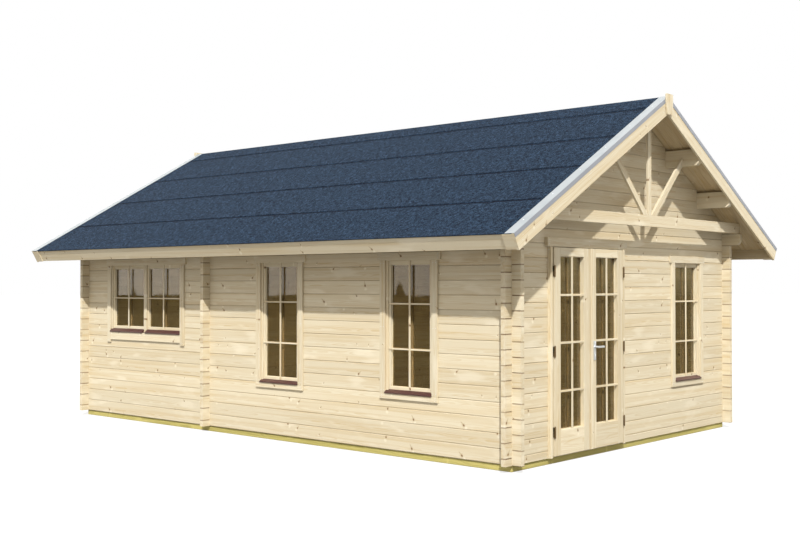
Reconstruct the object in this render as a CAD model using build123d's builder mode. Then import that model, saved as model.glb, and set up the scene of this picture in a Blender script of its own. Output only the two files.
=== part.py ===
"""Log cabin with a gable roof, glazed double doors and four windows, as an assembly of its pieces.

Millimetres, +Z up. The front gable with the doors faces -Y, and X runs across the cabin.
The origin is on the ground at the middle of the cabin.
"""

import os
from math import cos, radians, sin, tan

from build123d import *

os.makedirs("parts", exist_ok=True)

# Logs: one course of the wall, and how far the logs run past each corner
course_height = 135
log_thickness = 50
log_end_length = 95
groove_depth = 5
groove_half_height = 6
wall_courses = 15

# Plan, over the outer faces of the walls
cabin_width = 4170
front_room_depth = 4099
back_room_depth = 2351

# Foundation beams and floor
foundation_height = 60
foundation_width = 90
foundation_setback = 17
floor_thickness = 20
floor_edge_gap = 5

# Roof
roof_pitch = 29
plate_rise = 235
deck_thickness = 20
felt_thickness = 4
felt_strips = 4
felt_drip = 8
ridge_strip_run = 245
gable_overhang = 405
eaves_overhang = 456
barge_thickness = 25
barge_depth = 156
mitre_gap = 1
fascia_thickness = 20
fascia_drop = 121
fascia_inset = 12
fascia_block_length = 105
gable_deck_gap = 6
trim_thickness = 3
trim_top_width = 100
trim_face_depth = 36
peak_cover_width = 126
peak_cover_height = 205
peak_cover_thickness = 18
peak_cover_rise = 20
peak_cover_foot_share = 0.7
peak_cover_taper_share = 0.35

# Purlins, wall plates and the open truss under the front overhang
purlin_width = 70
purlin_depth = 170
purlin_round = 45
upper_purlin_from_ridge = 694
lower_purlin_from_ridge = 1414
plate_reach = 216
plate_round = 60
truss_reach = 200
truss_thickness = 25
tie_beam_depth = 114
king_post_width = 64
strut_width = 66

# Windows: heights are over the underside of the lowest logs
window_glass_thickness = 12
window_glass_setback = 38
sash_stile = 25
sash_rail = 40
sash_thickness = 40
sash_setback = 14
window_frame_width = 48
mullion_width = 52
window_head_drop = 168
window_casing_lap = 25
window_head_lap = 46
head_casing_overhang = 33
head_casing_depth = 75
casing_width = 70
casing_thickness = 20
casing_joint = 0.6
drip_sill_rise = 6
drip_sill_back_rise = 14
drip_sill_nose = 12
drip_sill_reach = 12
tall_glass_width = 486
tall_window_bottom = 517
tall_sill_board_lap = 24
tall_sill_board_depth = 53
double_glass_width = 590
double_window_bottom = 985
double_sill_board_lap = 16
double_sill_board_depth = 94
double_casing_drop = 32
front_window_from_right = 923
first_tall_window_from_front = 1190
second_tall_window_from_front = 2990
double_window_off_room_middle = 16

# Doorway and doors
door_from_left = 1212
door_courses = 14.5
leaf_width = 606
leaf_thickness = 58
leaf_proud = 42
leaf_gap = 6
leaf_stop_gap = 5
meeting_gap = 8
jamb_width = 30
door_stop_width = 14
threshold_height = 10
door_casing_reveal = 11
door_casing_width = 30
door_casing_thickness = 37
door_head_overhang = 48
door_head_casing_depth = 85
leaf_stile = 103
leaf_top_rail = 81
leaf_bottom_rail = 230
door_glass_thickness = 12
door_glass_setback = 40
meeting_strip_width = 36
meeting_strip_thickness = 12
hinge_radius = 8
hinge_height = 90
hinge_split = 0.3
hinge_clearance = 1
hinge_wing_depth = 30
hinge_wing_thickness = 2
hinge_from_leaf_end = 218
handle_plate_width = 36
handle_plate_height = 184
handle_plate_thickness = 8
handle_plate_middle_height = 950
lever_over_plate_middle = 35
lever_radius = 9
lever_stand_off = 42
lever_length = 118
spindle_width = 7
spindle_hole_width = 12

# Inner doorway in the cross wall
inner_door_width = 800
inner_door_courses = 13.5

# A cut runs this far past what it cuts
overrun = 10

# Places worked out from the sizes above
half_width = cabin_width / 2
half_log = log_thickness / 2
cabin_length = front_room_depth + back_room_depth + 3 * log_thickness
half_length = cabin_length / 2
wall_base = foundation_height
wall_height = wall_courses * course_height
wall_top = wall_base + wall_height
window_head_height = wall_height - window_head_drop
gable_base = wall_base + door_courses * course_height
gable_seam_start = wall_base + course_height / 2
left_wall_x = half_log - half_width
right_wall_x = half_width - half_log
front_wall_y = half_log - half_length
back_wall_y = half_length - half_log
cross_wall_y = front_wall_y + front_room_depth + log_thickness
log_end_x = half_width + log_end_length
log_end_y = half_length + log_end_length
inner_x = half_width - log_thickness
inner_y = half_length - log_thickness

slope_cos = cos(radians(roof_pitch))
slope_sin = sin(radians(roof_pitch))
slope_tan = tan(radians(roof_pitch))
apex_z = wall_top + plate_rise + half_width * slope_tan
felt_top = deck_thickness + 2 * felt_thickness
barge_run = (half_width + eaves_overhang - (felt_top - barge_depth) * slope_sin) / slope_cos
fascia_run = barge_run - fascia_inset
deck_run = fascia_run - fascia_thickness
felt_run = fascia_run + felt_drip
barge_face_y = half_length + gable_overhang
roof_end_y = barge_face_y - barge_thickness


def finish(piece, name):
    """Name a finished piece and write it."""
    piece.part.label = name
    export_step(piece.part, f"parts/{name}.step")


# Log stacks and their interlocking


def log_face(low, high, first_seam):
    """Insets and heights up one face of a stack of logs, with a V groove at each seam."""
    seams = [first_seam + k * course_height for k in range(2 * wall_courses)]
    at_low = any(abs(seam - low) < groove_half_height for seam in seams)
    at_high = any(abs(seam - high) < groove_half_height for seam in seams)
    points = [(groove_depth, low), (0, low + groove_half_height)] if at_low else [(0, low)]
    for seam in seams:
        if low + groove_half_height <= seam <= high - groove_half_height:
            points += [(0, seam - groove_half_height), (groove_depth, seam), (0, seam + groove_half_height)]
    points += [(0, high - groove_half_height), (groove_depth, high)] if at_high else [(0, high)]
    return points


def stack_outline(middle, low, high, first_seam):
    """Outline of a stack of logs across its thickness, grooved on the face away from the cabin's middle."""
    outward = 1 if middle > 0 else -1
    face = log_face(low, high, first_seam)
    grooved = [(middle + outward * (half_log - inset), height) for inset, height in face]
    flush = [(middle - outward * half_log, high), (middle - outward * half_log, low)]
    return grooved + flush


def extrude_along_y(points, front, back, mode=Mode.ADD):
    """Run an outline in X and Z from front to back."""
    with BuildSketch(Plane.XZ.offset(-back)) as outline:
        with BuildLine():
            Polyline(*points, close=True)
        make_face()
    extrude(outline.sketch, amount=back - front, mode=mode)


def extrude_along_x(points, left, right, mode=Mode.ADD):
    """Run an outline in Y and Z from left to right."""
    with BuildSketch(Plane.YZ.offset(left)) as outline:
        with BuildLine():
            Polyline(*points, close=True)
        make_face()
    extrude(outline.sketch, amount=right - left, mode=mode)


def block(x_range, y_range, z_range, mode=Mode.ADD):
    """Rectangular block between the given limits."""
    middle = [(limits[0] + limits[1]) / 2 for limits in (x_range, y_range, z_range)]
    sizes = [limits[1] - limits[0] for limits in (x_range, y_range, z_range)]
    with Locations(tuple(middle)):
        Box(*sizes, mode=mode)


def panel(left, right, low, high, mode=Mode.ADD):
    """Rectangle between the given limits in the current sketch."""
    with Locations(((left + right) / 2, (low + high) / 2)):
        Rectangle(right - left, high - low, mode=mode)


def long_logs(middle_x, front, back, low, high):
    """Logs of a long wall, whose seams start at its underside, notched where cross walls pass."""
    extrude_along_y(stack_outline(middle_x, low, high, wall_base), front, back)
    for crossing_y in (front_wall_y, cross_wall_y, back_wall_y):
        if front < crossing_y < back:
            cut_notches(middle_x, crossing_y, low, high, wall_base - course_height / 4)


def cross_logs(middle_y, left, right, low, high):
    """Logs of a gable or cross wall, half a course off the long walls, notched where long walls pass."""
    extrude_along_x(stack_outline(middle_y, low, high, gable_seam_start), left, right)
    for crossing_x in (left_wall_x, right_wall_x):
        if left < crossing_x < right:
            cut_notches(crossing_x, middle_y, low, high, wall_base + course_height / 4)


def cut_notches(crossing_x, crossing_y, low, high, first_notch):
    """Notches of half a course in each log, which the logs of the crossing wall fill."""
    notch_height = course_height / 2
    lows = [first_notch + k * course_height for k in range(wall_courses + 1)]
    middles = [notch + notch_height / 2 for notch in lows if notch < high and notch + notch_height > low]
    if middles:
        with Locations(*[(crossing_x, crossing_y, middle) for middle in middles]):
            Box(log_thickness, log_thickness, notch_height, mode=Mode.SUBTRACT)


# Points of the roof: run is the way down the slope, rise is square to it from the deck's underside


def slope_point(side, run, rise):
    """X and Z of a point on one slope."""
    return (side * (run * slope_cos + rise * slope_sin), apex_z - run * slope_sin + rise * slope_cos)


def ridge_point(side, rise, gap=0):
    """X and Z where a line parallel to the slope meets the upright plane at the ridge."""
    return (side * gap, apex_z + rise / slope_cos - gap * slope_tan)


def under_deck(x):
    """Height of the deck's underside at a distance from the ridge."""
    return apex_z - abs(x) * slope_tan


def slope_band(side, run, low_rise, high_rise, gap=0):
    """Outline of a board that follows one slope from the ridge and is cut square at the eaves."""
    return [
        ridge_point(side, low_rise, gap),
        slope_point(side, run, low_rise),
        slope_point(side, run, high_rise),
        ridge_point(side, high_rise, gap),
    ]


def purlin_notch(side, inner):
    """Notch in a gable that seats a purlin and is open up to the deck."""
    outer = inner + purlin_width
    bottom = under_deck(outer) - purlin_depth
    over_deck = apex_z + overrun
    return [
        (side * inner, bottom),
        (side * outer, bottom),
        (side * outer, over_deck),
        (side * inner, over_deck),
    ]


def ridge_purlin_outline():
    """Section of the ridge purlin, bevelled to both slopes."""
    half = purlin_width / 2
    bottom = apex_z - purlin_depth
    return [(-half, bottom), (half, bottom), (half, under_deck(half)), (0, apex_z), (-half, under_deck(half))]


def cut_over_roof(front, back, gap=0):
    """Take away what stands over the deck's underside, less a gap under it."""
    above_roof = apex_z + overrun
    for side in (-1, 1):
        over_slope = [
            (0, apex_z - gap),
            (side * log_end_x, under_deck(log_end_x) - gap),
            (side * log_end_x, above_roof),
            (0, above_roof),
        ]
        extrude_along_y(over_slope, front - overrun, back + overrun, mode=Mode.SUBTRACT)


purlin_places = [
    (side, inner) for side in (-1, 1) for inner in (upper_purlin_from_ridge, lower_purlin_from_ridge)
]


# Openings in the walls

tall_window_width = tall_glass_width + 2 * (sash_stile + window_frame_width)
double_sash_width = double_glass_width + 2 * sash_stile
double_window_width = 2 * double_sash_width + mullion_width + 2 * window_frame_width
front_window_x = half_width - front_window_from_right
tall_window_ys = [first_tall_window_from_front - half_length, second_tall_window_from_front - half_length]
double_window_y = (cross_wall_y + back_wall_y) / 2 - double_window_off_room_middle
window_low = wall_base + tall_window_bottom
window_high = wall_base + window_head_height
double_window_low = wall_base + double_window_bottom
door_x = door_from_left - half_width
pair_half_width = leaf_width + meeting_gap / 2
door_clear_half = pair_half_width + leaf_gap
door_half_width = door_clear_half + jamb_width
door_left = door_x - door_half_width
door_right = door_x + door_half_width
front_window_left = front_window_x - tall_window_width / 2
front_window_right = front_window_x + tall_window_width / 2


# Foundation beams and floor

with BuildPart() as foundation_side_beams:
    for side in (-1, 1):
        outer = side * (half_width - foundation_setback)
        inner = side * (half_width - foundation_setback - foundation_width)
        block(
            sorted((outer, inner)),
            (foundation_setback - half_length, half_length - foundation_setback),
            (0, foundation_height),
        )
finish(foundation_side_beams, "foundation_side_beams")

cross_beam_half = half_width - foundation_setback - foundation_width
with BuildPart() as foundation_cross_beams:
    for beam_front in (
        foundation_setback - half_length,
        cross_wall_y - foundation_width / 2,
        half_length - foundation_setback - foundation_width,
    ):
        block(
            (-cross_beam_half, cross_beam_half),
            (beam_front, beam_front + foundation_width),
            (0, foundation_height),
        )
finish(foundation_cross_beams, "foundation_cross_beams")

floor_half_width = inner_x - floor_edge_gap
with BuildPart() as floor_boards:
    for room_front, room_back in (
        (-inner_y, cross_wall_y - half_log),
        (cross_wall_y + half_log, inner_y),
    ):
        block(
            (-floor_half_width, floor_half_width),
            (room_front + floor_edge_gap, room_back - floor_edge_gap),
            (wall_base, wall_base + floor_thickness),
        )
finish(floor_boards, "floor_boards")


# Long walls

with BuildPart() as left_wall_bands:
    long_logs(left_wall_x, -log_end_y, log_end_y, wall_base, window_low)
    long_logs(left_wall_x, -log_end_y, log_end_y, window_high, wall_top)
finish(left_wall_bands, "left_wall_bands")

left_window_edges = [
    (tall_window_ys[0] - tall_window_width / 2, tall_window_ys[0] + tall_window_width / 2),
    (tall_window_ys[1] - tall_window_width / 2, tall_window_ys[1] + tall_window_width / 2),
    (double_window_y - double_window_width / 2, double_window_y + double_window_width / 2),
]
pier_fronts = [-log_end_y] + [back for front, back in left_window_edges]
pier_backs = [front for front, back in left_window_edges] + [log_end_y]
with BuildPart() as left_wall_piers:
    for pier_front, pier_back in zip(pier_fronts, pier_backs):
        long_logs(left_wall_x, pier_front, pier_back, window_low, window_high)
finish(left_wall_piers, "left_wall_piers")

with BuildPart() as left_wall_window_panel:
    long_logs(left_wall_x, *left_window_edges[2], window_low, double_window_low)
finish(left_wall_window_panel, "left_wall_window_panel")

with BuildPart() as right_wall:
    long_logs(right_wall_x, -log_end_y, log_end_y, wall_base, wall_top)
finish(right_wall, "right_wall")


# Front and back walls and the cross wall

with BuildPart() as front_wall_left_pier:
    cross_logs(front_wall_y, -log_end_x, door_left, wall_base, gable_base)
finish(front_wall_left_pier, "front_wall_left_pier")

with BuildPart() as front_wall_right_bands:
    cross_logs(front_wall_y, door_right, log_end_x, wall_base, window_low)
    cross_logs(front_wall_y, door_right, log_end_x, window_high, gable_base)
finish(front_wall_right_bands, "front_wall_right_bands")

with BuildPart() as front_wall_right_piers:
    cross_logs(front_wall_y, door_right, front_window_left, window_low, window_high)
    cross_logs(front_wall_y, front_window_right, log_end_x, window_low, window_high)
finish(front_wall_right_piers, "front_wall_right_piers")

with BuildPart() as back_wall:
    cross_logs(back_wall_y, -log_end_x, log_end_x, wall_base, gable_base)
finish(back_wall, "back_wall")

for name, gable_y in (("front_gable", front_wall_y), ("back_gable", back_wall_y)):
    gable_front = gable_y - half_log
    gable_back = gable_y + half_log
    with BuildPart() as gable:
        cross_logs(gable_y, -log_end_x, log_end_x, gable_base, apex_z)
        for side in (-1, 1):
            block(
                sorted((side * inner_x, side * (log_end_x + overrun))),
                (gable_front - overrun, gable_back + overrun),
                (wall_top, apex_z),
                mode=Mode.SUBTRACT,
            )
        cut_over_roof(gable_front, gable_back, gable_deck_gap)
        for side, inner in purlin_places:
            extrude_along_y(
                purlin_notch(side, inner), gable_front - overrun, gable_back + overrun, mode=Mode.SUBTRACT
            )
        extrude_along_y(
            ridge_purlin_outline(), gable_front - overrun, gable_back + overrun, mode=Mode.SUBTRACT
        )
    finish(gable, name)

with BuildPart() as cross_wall_sides:
    cross_logs(cross_wall_y, -log_end_x, -inner_door_width / 2, wall_base, wall_top)
    cross_logs(cross_wall_y, inner_door_width / 2, log_end_x, wall_base, wall_top)
finish(cross_wall_sides, "cross_wall_sides")

inner_door_top = wall_base + inner_door_courses * course_height
with BuildPart() as cross_wall_head:
    cross_logs(cross_wall_y, -inner_door_width / 2, inner_door_width / 2, inner_door_top, wall_top)
finish(cross_wall_head, "cross_wall_head")


# Wall plates: the top log reaches out under the overhangs, and an eaves log on it is bevelled to the roof

plate_log_top = wall_top + course_height
with BuildPart() as wall_plates:
    for side in (-1, 1):
        outer_x = side * half_width
        face_x = side * inner_x
        block(
            sorted((outer_x, face_x)),
            (-half_length - plate_reach, half_length + plate_reach),
            (wall_top, plate_log_top),
        )
    plate_ends = wall_plates.edges().filter_by(Axis.X).group_by(Axis.Z)[0]
    fillet(plate_ends, plate_round)
    for side in (-1, 1):
        outer_x = side * half_width
        face_x = side * inner_x
        eaves_log = [
            (outer_x, plate_log_top),
            (outer_x, under_deck(outer_x)),
            (face_x, under_deck(face_x)),
            (face_x, plate_log_top),
        ]
        extrude_along_y(eaves_log, -log_end_y, log_end_y)
        for face in (outer_x, face_x):
            inward = groove_depth if face < side * (half_width - half_log) else -groove_depth
            seam_groove = [
                (face, plate_log_top - groove_half_height),
                (face + inward, plate_log_top),
                (face, plate_log_top + groove_half_height),
            ]
            extrude_along_y(seam_groove, -log_end_y, log_end_y, mode=Mode.SUBTRACT)
finish(wall_plates, "wall_plates")


# Purlins with level tops, whose outer corners carry the deck

with BuildPart() as purlins:
    for side, inner in purlin_places:
        purlin_left = min(side * inner, side * (inner + purlin_width))
        purlin_top = under_deck(inner + purlin_width)
        with BuildSketch(Plane.YZ.offset(purlin_left)) as long_face:
            panel(-roof_end_y, roof_end_y, purlin_top - purlin_depth, purlin_top)
            fillet(long_face.vertices().group_by(Axis.Y)[0], purlin_round)
        extrude(long_face.sketch, amount=purlin_width)
finish(purlins, "purlins")

with BuildPart() as ridge_purlin:
    extrude_along_y(ridge_purlin_outline(), -roof_end_y, roof_end_y)
    fillet(ridge_purlin.edges().filter_by(Axis.X), purlin_round)
finish(ridge_purlin, "ridge_purlin")


# Roof deck and felt

felt_exposure = (felt_run - ridge_strip_run) / felt_strips
for side, word in ((-1, "left"), (1, "right")):
    with BuildPart() as roof_deck:
        extrude_along_y(slope_band(side, deck_run, 0, deck_thickness), -roof_end_y, roof_end_y)
    finish(roof_deck, f"roof_deck_{word}")

    felt_outline = [ridge_point(side, deck_thickness), slope_point(side, felt_run, deck_thickness)]
    for strip in range(felt_strips):
        strip_edge = felt_run - strip * felt_exposure
        felt_outline += [
            slope_point(side, strip_edge, felt_top),
            slope_point(side, strip_edge - felt_exposure, deck_thickness + felt_thickness),
        ]
    felt_outline.append(ridge_point(side, deck_thickness + felt_thickness))
    with BuildPart() as roof_felt:
        extrude_along_y(felt_outline, -roof_end_y, roof_end_y)
    finish(roof_felt, f"roof_felt_{word}")

with BuildPart() as ridge_felt:
    ridge_outline = [
        slope_point(1, ridge_strip_run, deck_thickness + felt_thickness),
        slope_point(1, ridge_strip_run, felt_top),
        ridge_point(1, felt_top),
        slope_point(-1, ridge_strip_run, felt_top),
        slope_point(-1, ridge_strip_run, deck_thickness + felt_thickness),
        ridge_point(1, deck_thickness + felt_thickness),
    ]
    extrude_along_y(ridge_outline, -roof_end_y, roof_end_y)
finish(ridge_felt, "ridge_felt")


# Barge boards, metal trims and peak covers at both gable ends, and the eaves fascias

for word, end in (("front", -1), ("back", 1)):
    barge_faces = sorted((end * roof_end_y, end * barge_face_y))
    with BuildPart() as barge_boards:
        for side in (-1, 1):
            barge_outline = slope_band(side, barge_run, felt_top - barge_depth, felt_top, mitre_gap / 2)
            extrude_along_y(barge_outline, *barge_faces)
    finish(barge_boards, f"{word}_barge_boards")

    trim_face_y = end * (barge_face_y + trim_thickness)
    trim_back_y = end * (barge_face_y + trim_thickness - trim_top_width)
    with BuildPart() as verge_trims:
        for side in (-1, 1):
            top_flange = slope_band(side, barge_run, felt_top, felt_top + trim_thickness, mitre_gap / 2)
            face_flange = slope_band(
                side, barge_run, felt_top - trim_face_depth, felt_top + trim_thickness, mitre_gap / 2
            )
            extrude_along_y(top_flange, *sorted((trim_back_y, trim_face_y)))
            extrude_along_y(face_flange, *sorted((end * barge_face_y, trim_face_y)))
    finish(verge_trims, f"{word}_verge_trims")

peak_top = apex_z + felt_top / slope_cos + peak_cover_rise
peak_foot = peak_top - peak_cover_height
peak_waist = peak_foot + peak_cover_height * peak_cover_taper_share
peak_half = peak_cover_width / 2
with BuildPart() as peak_covers:
    for end in (-1, 1):
        cover_back = barge_face_y + trim_thickness
        cover_outline = [
            (-peak_half, peak_top),
            (-peak_half, peak_waist),
            (-peak_half * peak_cover_foot_share, peak_foot),
            (peak_half * peak_cover_foot_share, peak_foot),
            (peak_half, peak_waist),
            (peak_half, peak_top),
        ]
        extrude_along_y(cover_outline, *sorted((end * cover_back, end * (cover_back + peak_cover_thickness))))
finish(peak_covers, "peak_covers")



def eaves_board(side, run):
    """Outline of a board on the ends of the deck, whose face is at a run down the slope."""
    return [
        slope_point(side, deck_run, deck_thickness),
        slope_point(side, run, deck_thickness),
        slope_point(side, run, -fascia_drop),
        slope_point(side, deck_run, -fascia_drop),
    ]


block_start_y = roof_end_y - fascia_block_length
fascia_end_y = block_start_y - casing_joint
with BuildPart() as eaves_fascias:
    for side in (-1, 1):
        extrude_along_y(eaves_board(side, fascia_run), -fascia_end_y, fascia_end_y)
        for end in (-1, 1):
            extrude_along_y(eaves_board(side, barge_run), *sorted((end * block_start_y, end * roof_end_y)))
finish(eaves_fascias, "eaves_fascias")


# Open truss under the front overhang, standing on the reaching ends of the wall plates

truss_front = -half_length - truss_reach
truss_back = truss_front + truss_thickness
tie_top = plate_log_top + tie_beam_depth
with BuildPart() as tie_beam:
    block((-half_width, half_width), (truss_front, truss_back), (plate_log_top, tie_top))
    cut_over_roof(truss_front, truss_back)
finish(tie_beam, "tie_beam")

post_half = king_post_width / 2
with BuildPart() as king_post:
    block((-post_half, post_half), (truss_front, truss_back), (tie_top, apex_z - purlin_depth))
finish(king_post, "king_post")

strut_head_middle = under_deck(upper_purlin_from_ridge + purlin_width) - purlin_depth / 2
strut_rise = strut_head_middle - tie_top
strut_reach = upper_purlin_from_ridge - post_half
strut_slope = strut_rise / strut_reach
strut_foot = strut_width * (1 + strut_slope**2) ** 0.5 / strut_slope
strut_head = strut_foot * strut_slope
with BuildPart() as struts:
    for side in (-1, 1):
        foot_inner = post_half
        foot_outer = post_half + strut_foot
        head_high = tie_top + (upper_purlin_from_ridge - foot_inner) * strut_slope
        strut_outline = [
            (side * foot_inner, tie_top),
            (side * foot_outer, tie_top),
            (side * upper_purlin_from_ridge, head_high - strut_head),
            (side * upper_purlin_from_ridge, head_high),
        ]
        extrude_along_y(strut_outline, truss_front, truss_back)
finish(struts, "struts")


# Windows: each stands on a plane on the outer face of its wall, with Y up and Z outward


def front_wall_plane(x):
    """Plane on the outer face of the front wall at one place across it."""
    return Plane(origin=(x, -half_length, wall_base), x_dir=(1, 0, 0), z_dir=(0, -1, 0))


def left_wall_plane(y):
    """Plane on the outer face of the left wall at one place along it."""
    return Plane(origin=(-half_width, y, wall_base), x_dir=(0, -1, 0), z_dir=(-1, 0, 0))


tall_window_planes = [front_wall_plane(front_window_x)] + [left_wall_plane(y) for y in tall_window_ys]
double_window_plane = left_wall_plane(double_window_y)


def casing_boards(width, bottom, sill_lap, sill_depth, side_drop):
    """Head, side and sill boards round an opening, with a fine joint between them."""
    head_low = window_head_height - window_head_lap
    inner = width / 2 - window_casing_lap
    outer = inner + casing_width
    sill_top = bottom + sill_lap
    panel(-outer - head_casing_overhang, outer + head_casing_overhang, head_low, head_low + head_casing_depth)
    sill_half = inner - casing_joint if side_drop else outer
    side_low = sill_top - sill_depth - side_drop if side_drop else sill_top + casing_joint
    panel(-sill_half, sill_half, sill_top - sill_depth, sill_top)
    for side in (-1, 1):
        edges = sorted((side * inner, side * outer))
        panel(*edges, side_low, head_low - casing_joint)


with BuildPart() as window_casings:
    for plane in tall_window_planes:
        with BuildSketch(plane) as boards:
            casing_boards(
                tall_window_width, tall_window_bottom, tall_sill_board_lap, tall_sill_board_depth, 0
            )
        extrude(boards.sketch, amount=casing_thickness)
    with BuildSketch(double_window_plane) as boards:
        casing_boards(
            double_window_width,
            double_window_bottom,
            double_sill_board_lap,
            double_sill_board_depth,
            double_casing_drop,
        )
    extrude(boards.sketch, amount=casing_thickness)
finish(window_casings, "window_casings")

frame_depth = sash_setback + sash_thickness
with BuildPart() as window_frames:
    for plane in tall_window_planes:
        with BuildSketch(plane) as ring:
            panel(-tall_window_width / 2, tall_window_width / 2, tall_window_bottom, window_head_height)
            panel(
                window_frame_width - tall_window_width / 2,
                tall_window_width / 2 - window_frame_width,
                tall_window_bottom + window_frame_width,
                window_head_height - window_frame_width,
                mode=Mode.SUBTRACT,
            )
        extrude(ring.sketch, amount=-frame_depth)
    with BuildSketch(double_window_plane) as ring:
        panel(-double_window_width / 2, double_window_width / 2, double_window_bottom, window_head_height)
        for side in (-1, 1):
            daylight = sorted((side * mullion_width / 2, side * (mullion_width / 2 + double_sash_width)))
            panel(
                *daylight,
                double_window_bottom + window_frame_width,
                window_head_height - window_frame_width,
                mode=Mode.SUBTRACT,
            )
    extrude(ring.sketch, amount=-frame_depth)
finish(window_frames, "window_frames")

sash_places = [
    (plane, 0, tall_glass_width + 2 * sash_stile, tall_window_bottom) for plane in tall_window_planes
]
for side in (-1, 1):
    sash_middle = side * (mullion_width + double_sash_width) / 2
    sash_places.append((double_window_plane, sash_middle, double_sash_width, double_window_bottom))

with BuildPart() as window_sashes:
    for plane, middle, width, bottom in sash_places:
        sash_low = bottom + window_frame_width
        sash_high = window_head_height - window_frame_width
        with BuildSketch(plane.offset(-sash_setback)) as ring:
            panel(middle - width / 2, middle + width / 2, sash_low, sash_high)
            panel(
                middle - width / 2 + sash_stile,
                middle + width / 2 - sash_stile,
                sash_low + sash_rail,
                sash_high - sash_rail,
                mode=Mode.SUBTRACT,
            )
        extrude(ring.sketch, amount=-sash_thickness)
finish(window_sashes, "window_sashes")

with BuildPart() as window_glass:
    for plane, middle, width, bottom in sash_places:
        with BuildSketch(plane.offset(-window_glass_setback)) as pane:
            panel(
                middle - width / 2 + sash_stile,
                middle + width / 2 - sash_stile,
                bottom + window_frame_width + sash_rail,
                window_head_height - window_frame_width - sash_rail,
            )
        extrude(pane.sketch, amount=-window_glass_thickness)
finish(window_glass, "window_glass")

tall_sill_edge = tall_window_width / 2 - window_casing_lap - casing_joint
double_sill_edge = double_window_width / 2 - window_casing_lap - casing_joint
sill_edges = [(-tall_sill_edge, tall_sill_edge)] * len(tall_window_planes)
sill_edges += [(-double_sill_edge, -mullion_width / 2), (mullion_width / 2, double_sill_edge)]
sill_laps = [tall_sill_board_lap] * len(tall_window_planes) + [double_sill_board_lap] * 2
sill_nose = casing_thickness + drip_sill_reach


def sill_run(plane, left, right, points):
    """Run a sill's section, given as reach out of the wall and height, along its window."""
    start = plane.from_local_coords((left, 0, 0))
    with BuildSketch(Plane(origin=start, x_dir=plane.z_dir, z_dir=plane.x_dir)) as section:
        with BuildLine():
            Polyline(*[(reach, -height) for reach, height in points], close=True)
        make_face()
    extrude(section.sketch, amount=right - left)


with BuildPart() as window_sills:
    for (plane, middle, width, bottom), edges, lap in zip(sash_places, sill_edges, sill_laps):
        seat = bottom + lap
        sash_low = bottom + window_frame_width
        sill_run(
            plane,
            *edges,
            [(0, seat), (sill_nose, seat), (sill_nose, seat + drip_sill_nose), (0, sash_low + drip_sill_rise)],
        )
        sill_run(
            plane,
            middle - width / 2,
            middle + width / 2,
            [
                (0, sash_low),
                (0, sash_low + drip_sill_rise),
                (-sash_setback, sash_low + drip_sill_back_rise),
                (-sash_setback, sash_low),
            ],
        )
finish(window_sills, "window_sills")


# Doorway: jambs with stops, head, threshold and casing boards, on a plane on the front wall's outer face

door_plane = front_wall_plane(door_x)
door_top = door_courses * course_height
door_clear_top = door_top - jamb_width
leaf_low = threshold_height + leaf_gap
leaf_high = door_clear_top - leaf_gap
stop_setback = leaf_thickness - leaf_proud + leaf_stop_gap
stop_clear_half = door_clear_half - door_stop_width
leaf_face = door_plane.offset(leaf_proud)
hinge_offset = leaf_proud + hinge_clearance + hinge_radius
hinge_axis_x = pair_half_width + leaf_gap / 2
hinge_heights = (leaf_low + hinge_from_leaf_end, (leaf_low + leaf_high) / 2, leaf_high - hinge_from_leaf_end)
knuckle_height = (hinge_height - hinge_split) / 2
jamb_wing_depth = stop_setback


def hinge_wing(edge, inner_edge, low, back, mode):
    """Flat wing of a hinge, let into the wood from the hinge's axis back."""
    with BuildSketch(door_plane.offset(hinge_offset)) as outline:
        panel(*sorted((edge, inner_edge)), low, low + knuckle_height)
    extrude(outline.sketch, amount=back - hinge_offset, mode=mode)


def jamb_wing(side, low, mode=Mode.ADD):
    """Wing let into the inner face of a jamb."""
    edge = side * door_clear_half
    hinge_wing(edge, edge + side * hinge_wing_thickness, low, -jamb_wing_depth, mode)


def leaf_wing(side, low, mode=Mode.ADD):
    """Wing let into the outer edge of a leaf."""
    edge = side * pair_half_width
    hinge_wing(edge, edge - side * hinge_wing_thickness, low, leaf_proud - hinge_wing_depth, mode)


def hinge_knuckle(side, low):
    """Round half of a hinge on its upright axis."""
    place = door_plane.from_local_coords((side * hinge_axis_x, low + knuckle_height / 2, hinge_offset))
    with Locations(place):
        Cylinder(hinge_radius, knuckle_height)


with BuildPart() as door_jambs:
    for side in (-1, 1):
        with BuildSketch(door_plane) as jamb:
            panel(*sorted((side * door_clear_half, side * door_half_width)), 0, door_top)
        extrude(jamb.sketch, amount=-log_thickness)
        with BuildSketch(door_plane.offset(-stop_setback)) as stop:
            panel(*sorted((side * stop_clear_half, side * door_half_width)), 0, door_top)
        extrude(stop.sketch, amount=stop_setback - log_thickness)
        for height in hinge_heights:
            wing_low = height - hinge_split / 2 - knuckle_height
            jamb_wing(side, wing_low, Mode.SUBTRACT)
finish(door_jambs, "door_jambs")

with BuildPart() as door_head_and_threshold:
    with BuildSketch(door_plane) as rails:
        panel(-door_clear_half, door_clear_half, door_clear_top, door_top)
        panel(-door_clear_half, door_clear_half, 0, threshold_height)
    extrude(rails.sketch, amount=-stop_setback)
    with BuildSketch(door_plane.offset(-stop_setback)) as rails:
        panel(-stop_clear_half, stop_clear_half, door_clear_top - door_stop_width, door_top)
        panel(-stop_clear_half, stop_clear_half, 0, threshold_height)
    extrude(rails.sketch, amount=stop_setback - log_thickness)
finish(door_head_and_threshold, "door_head_and_threshold")

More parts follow.
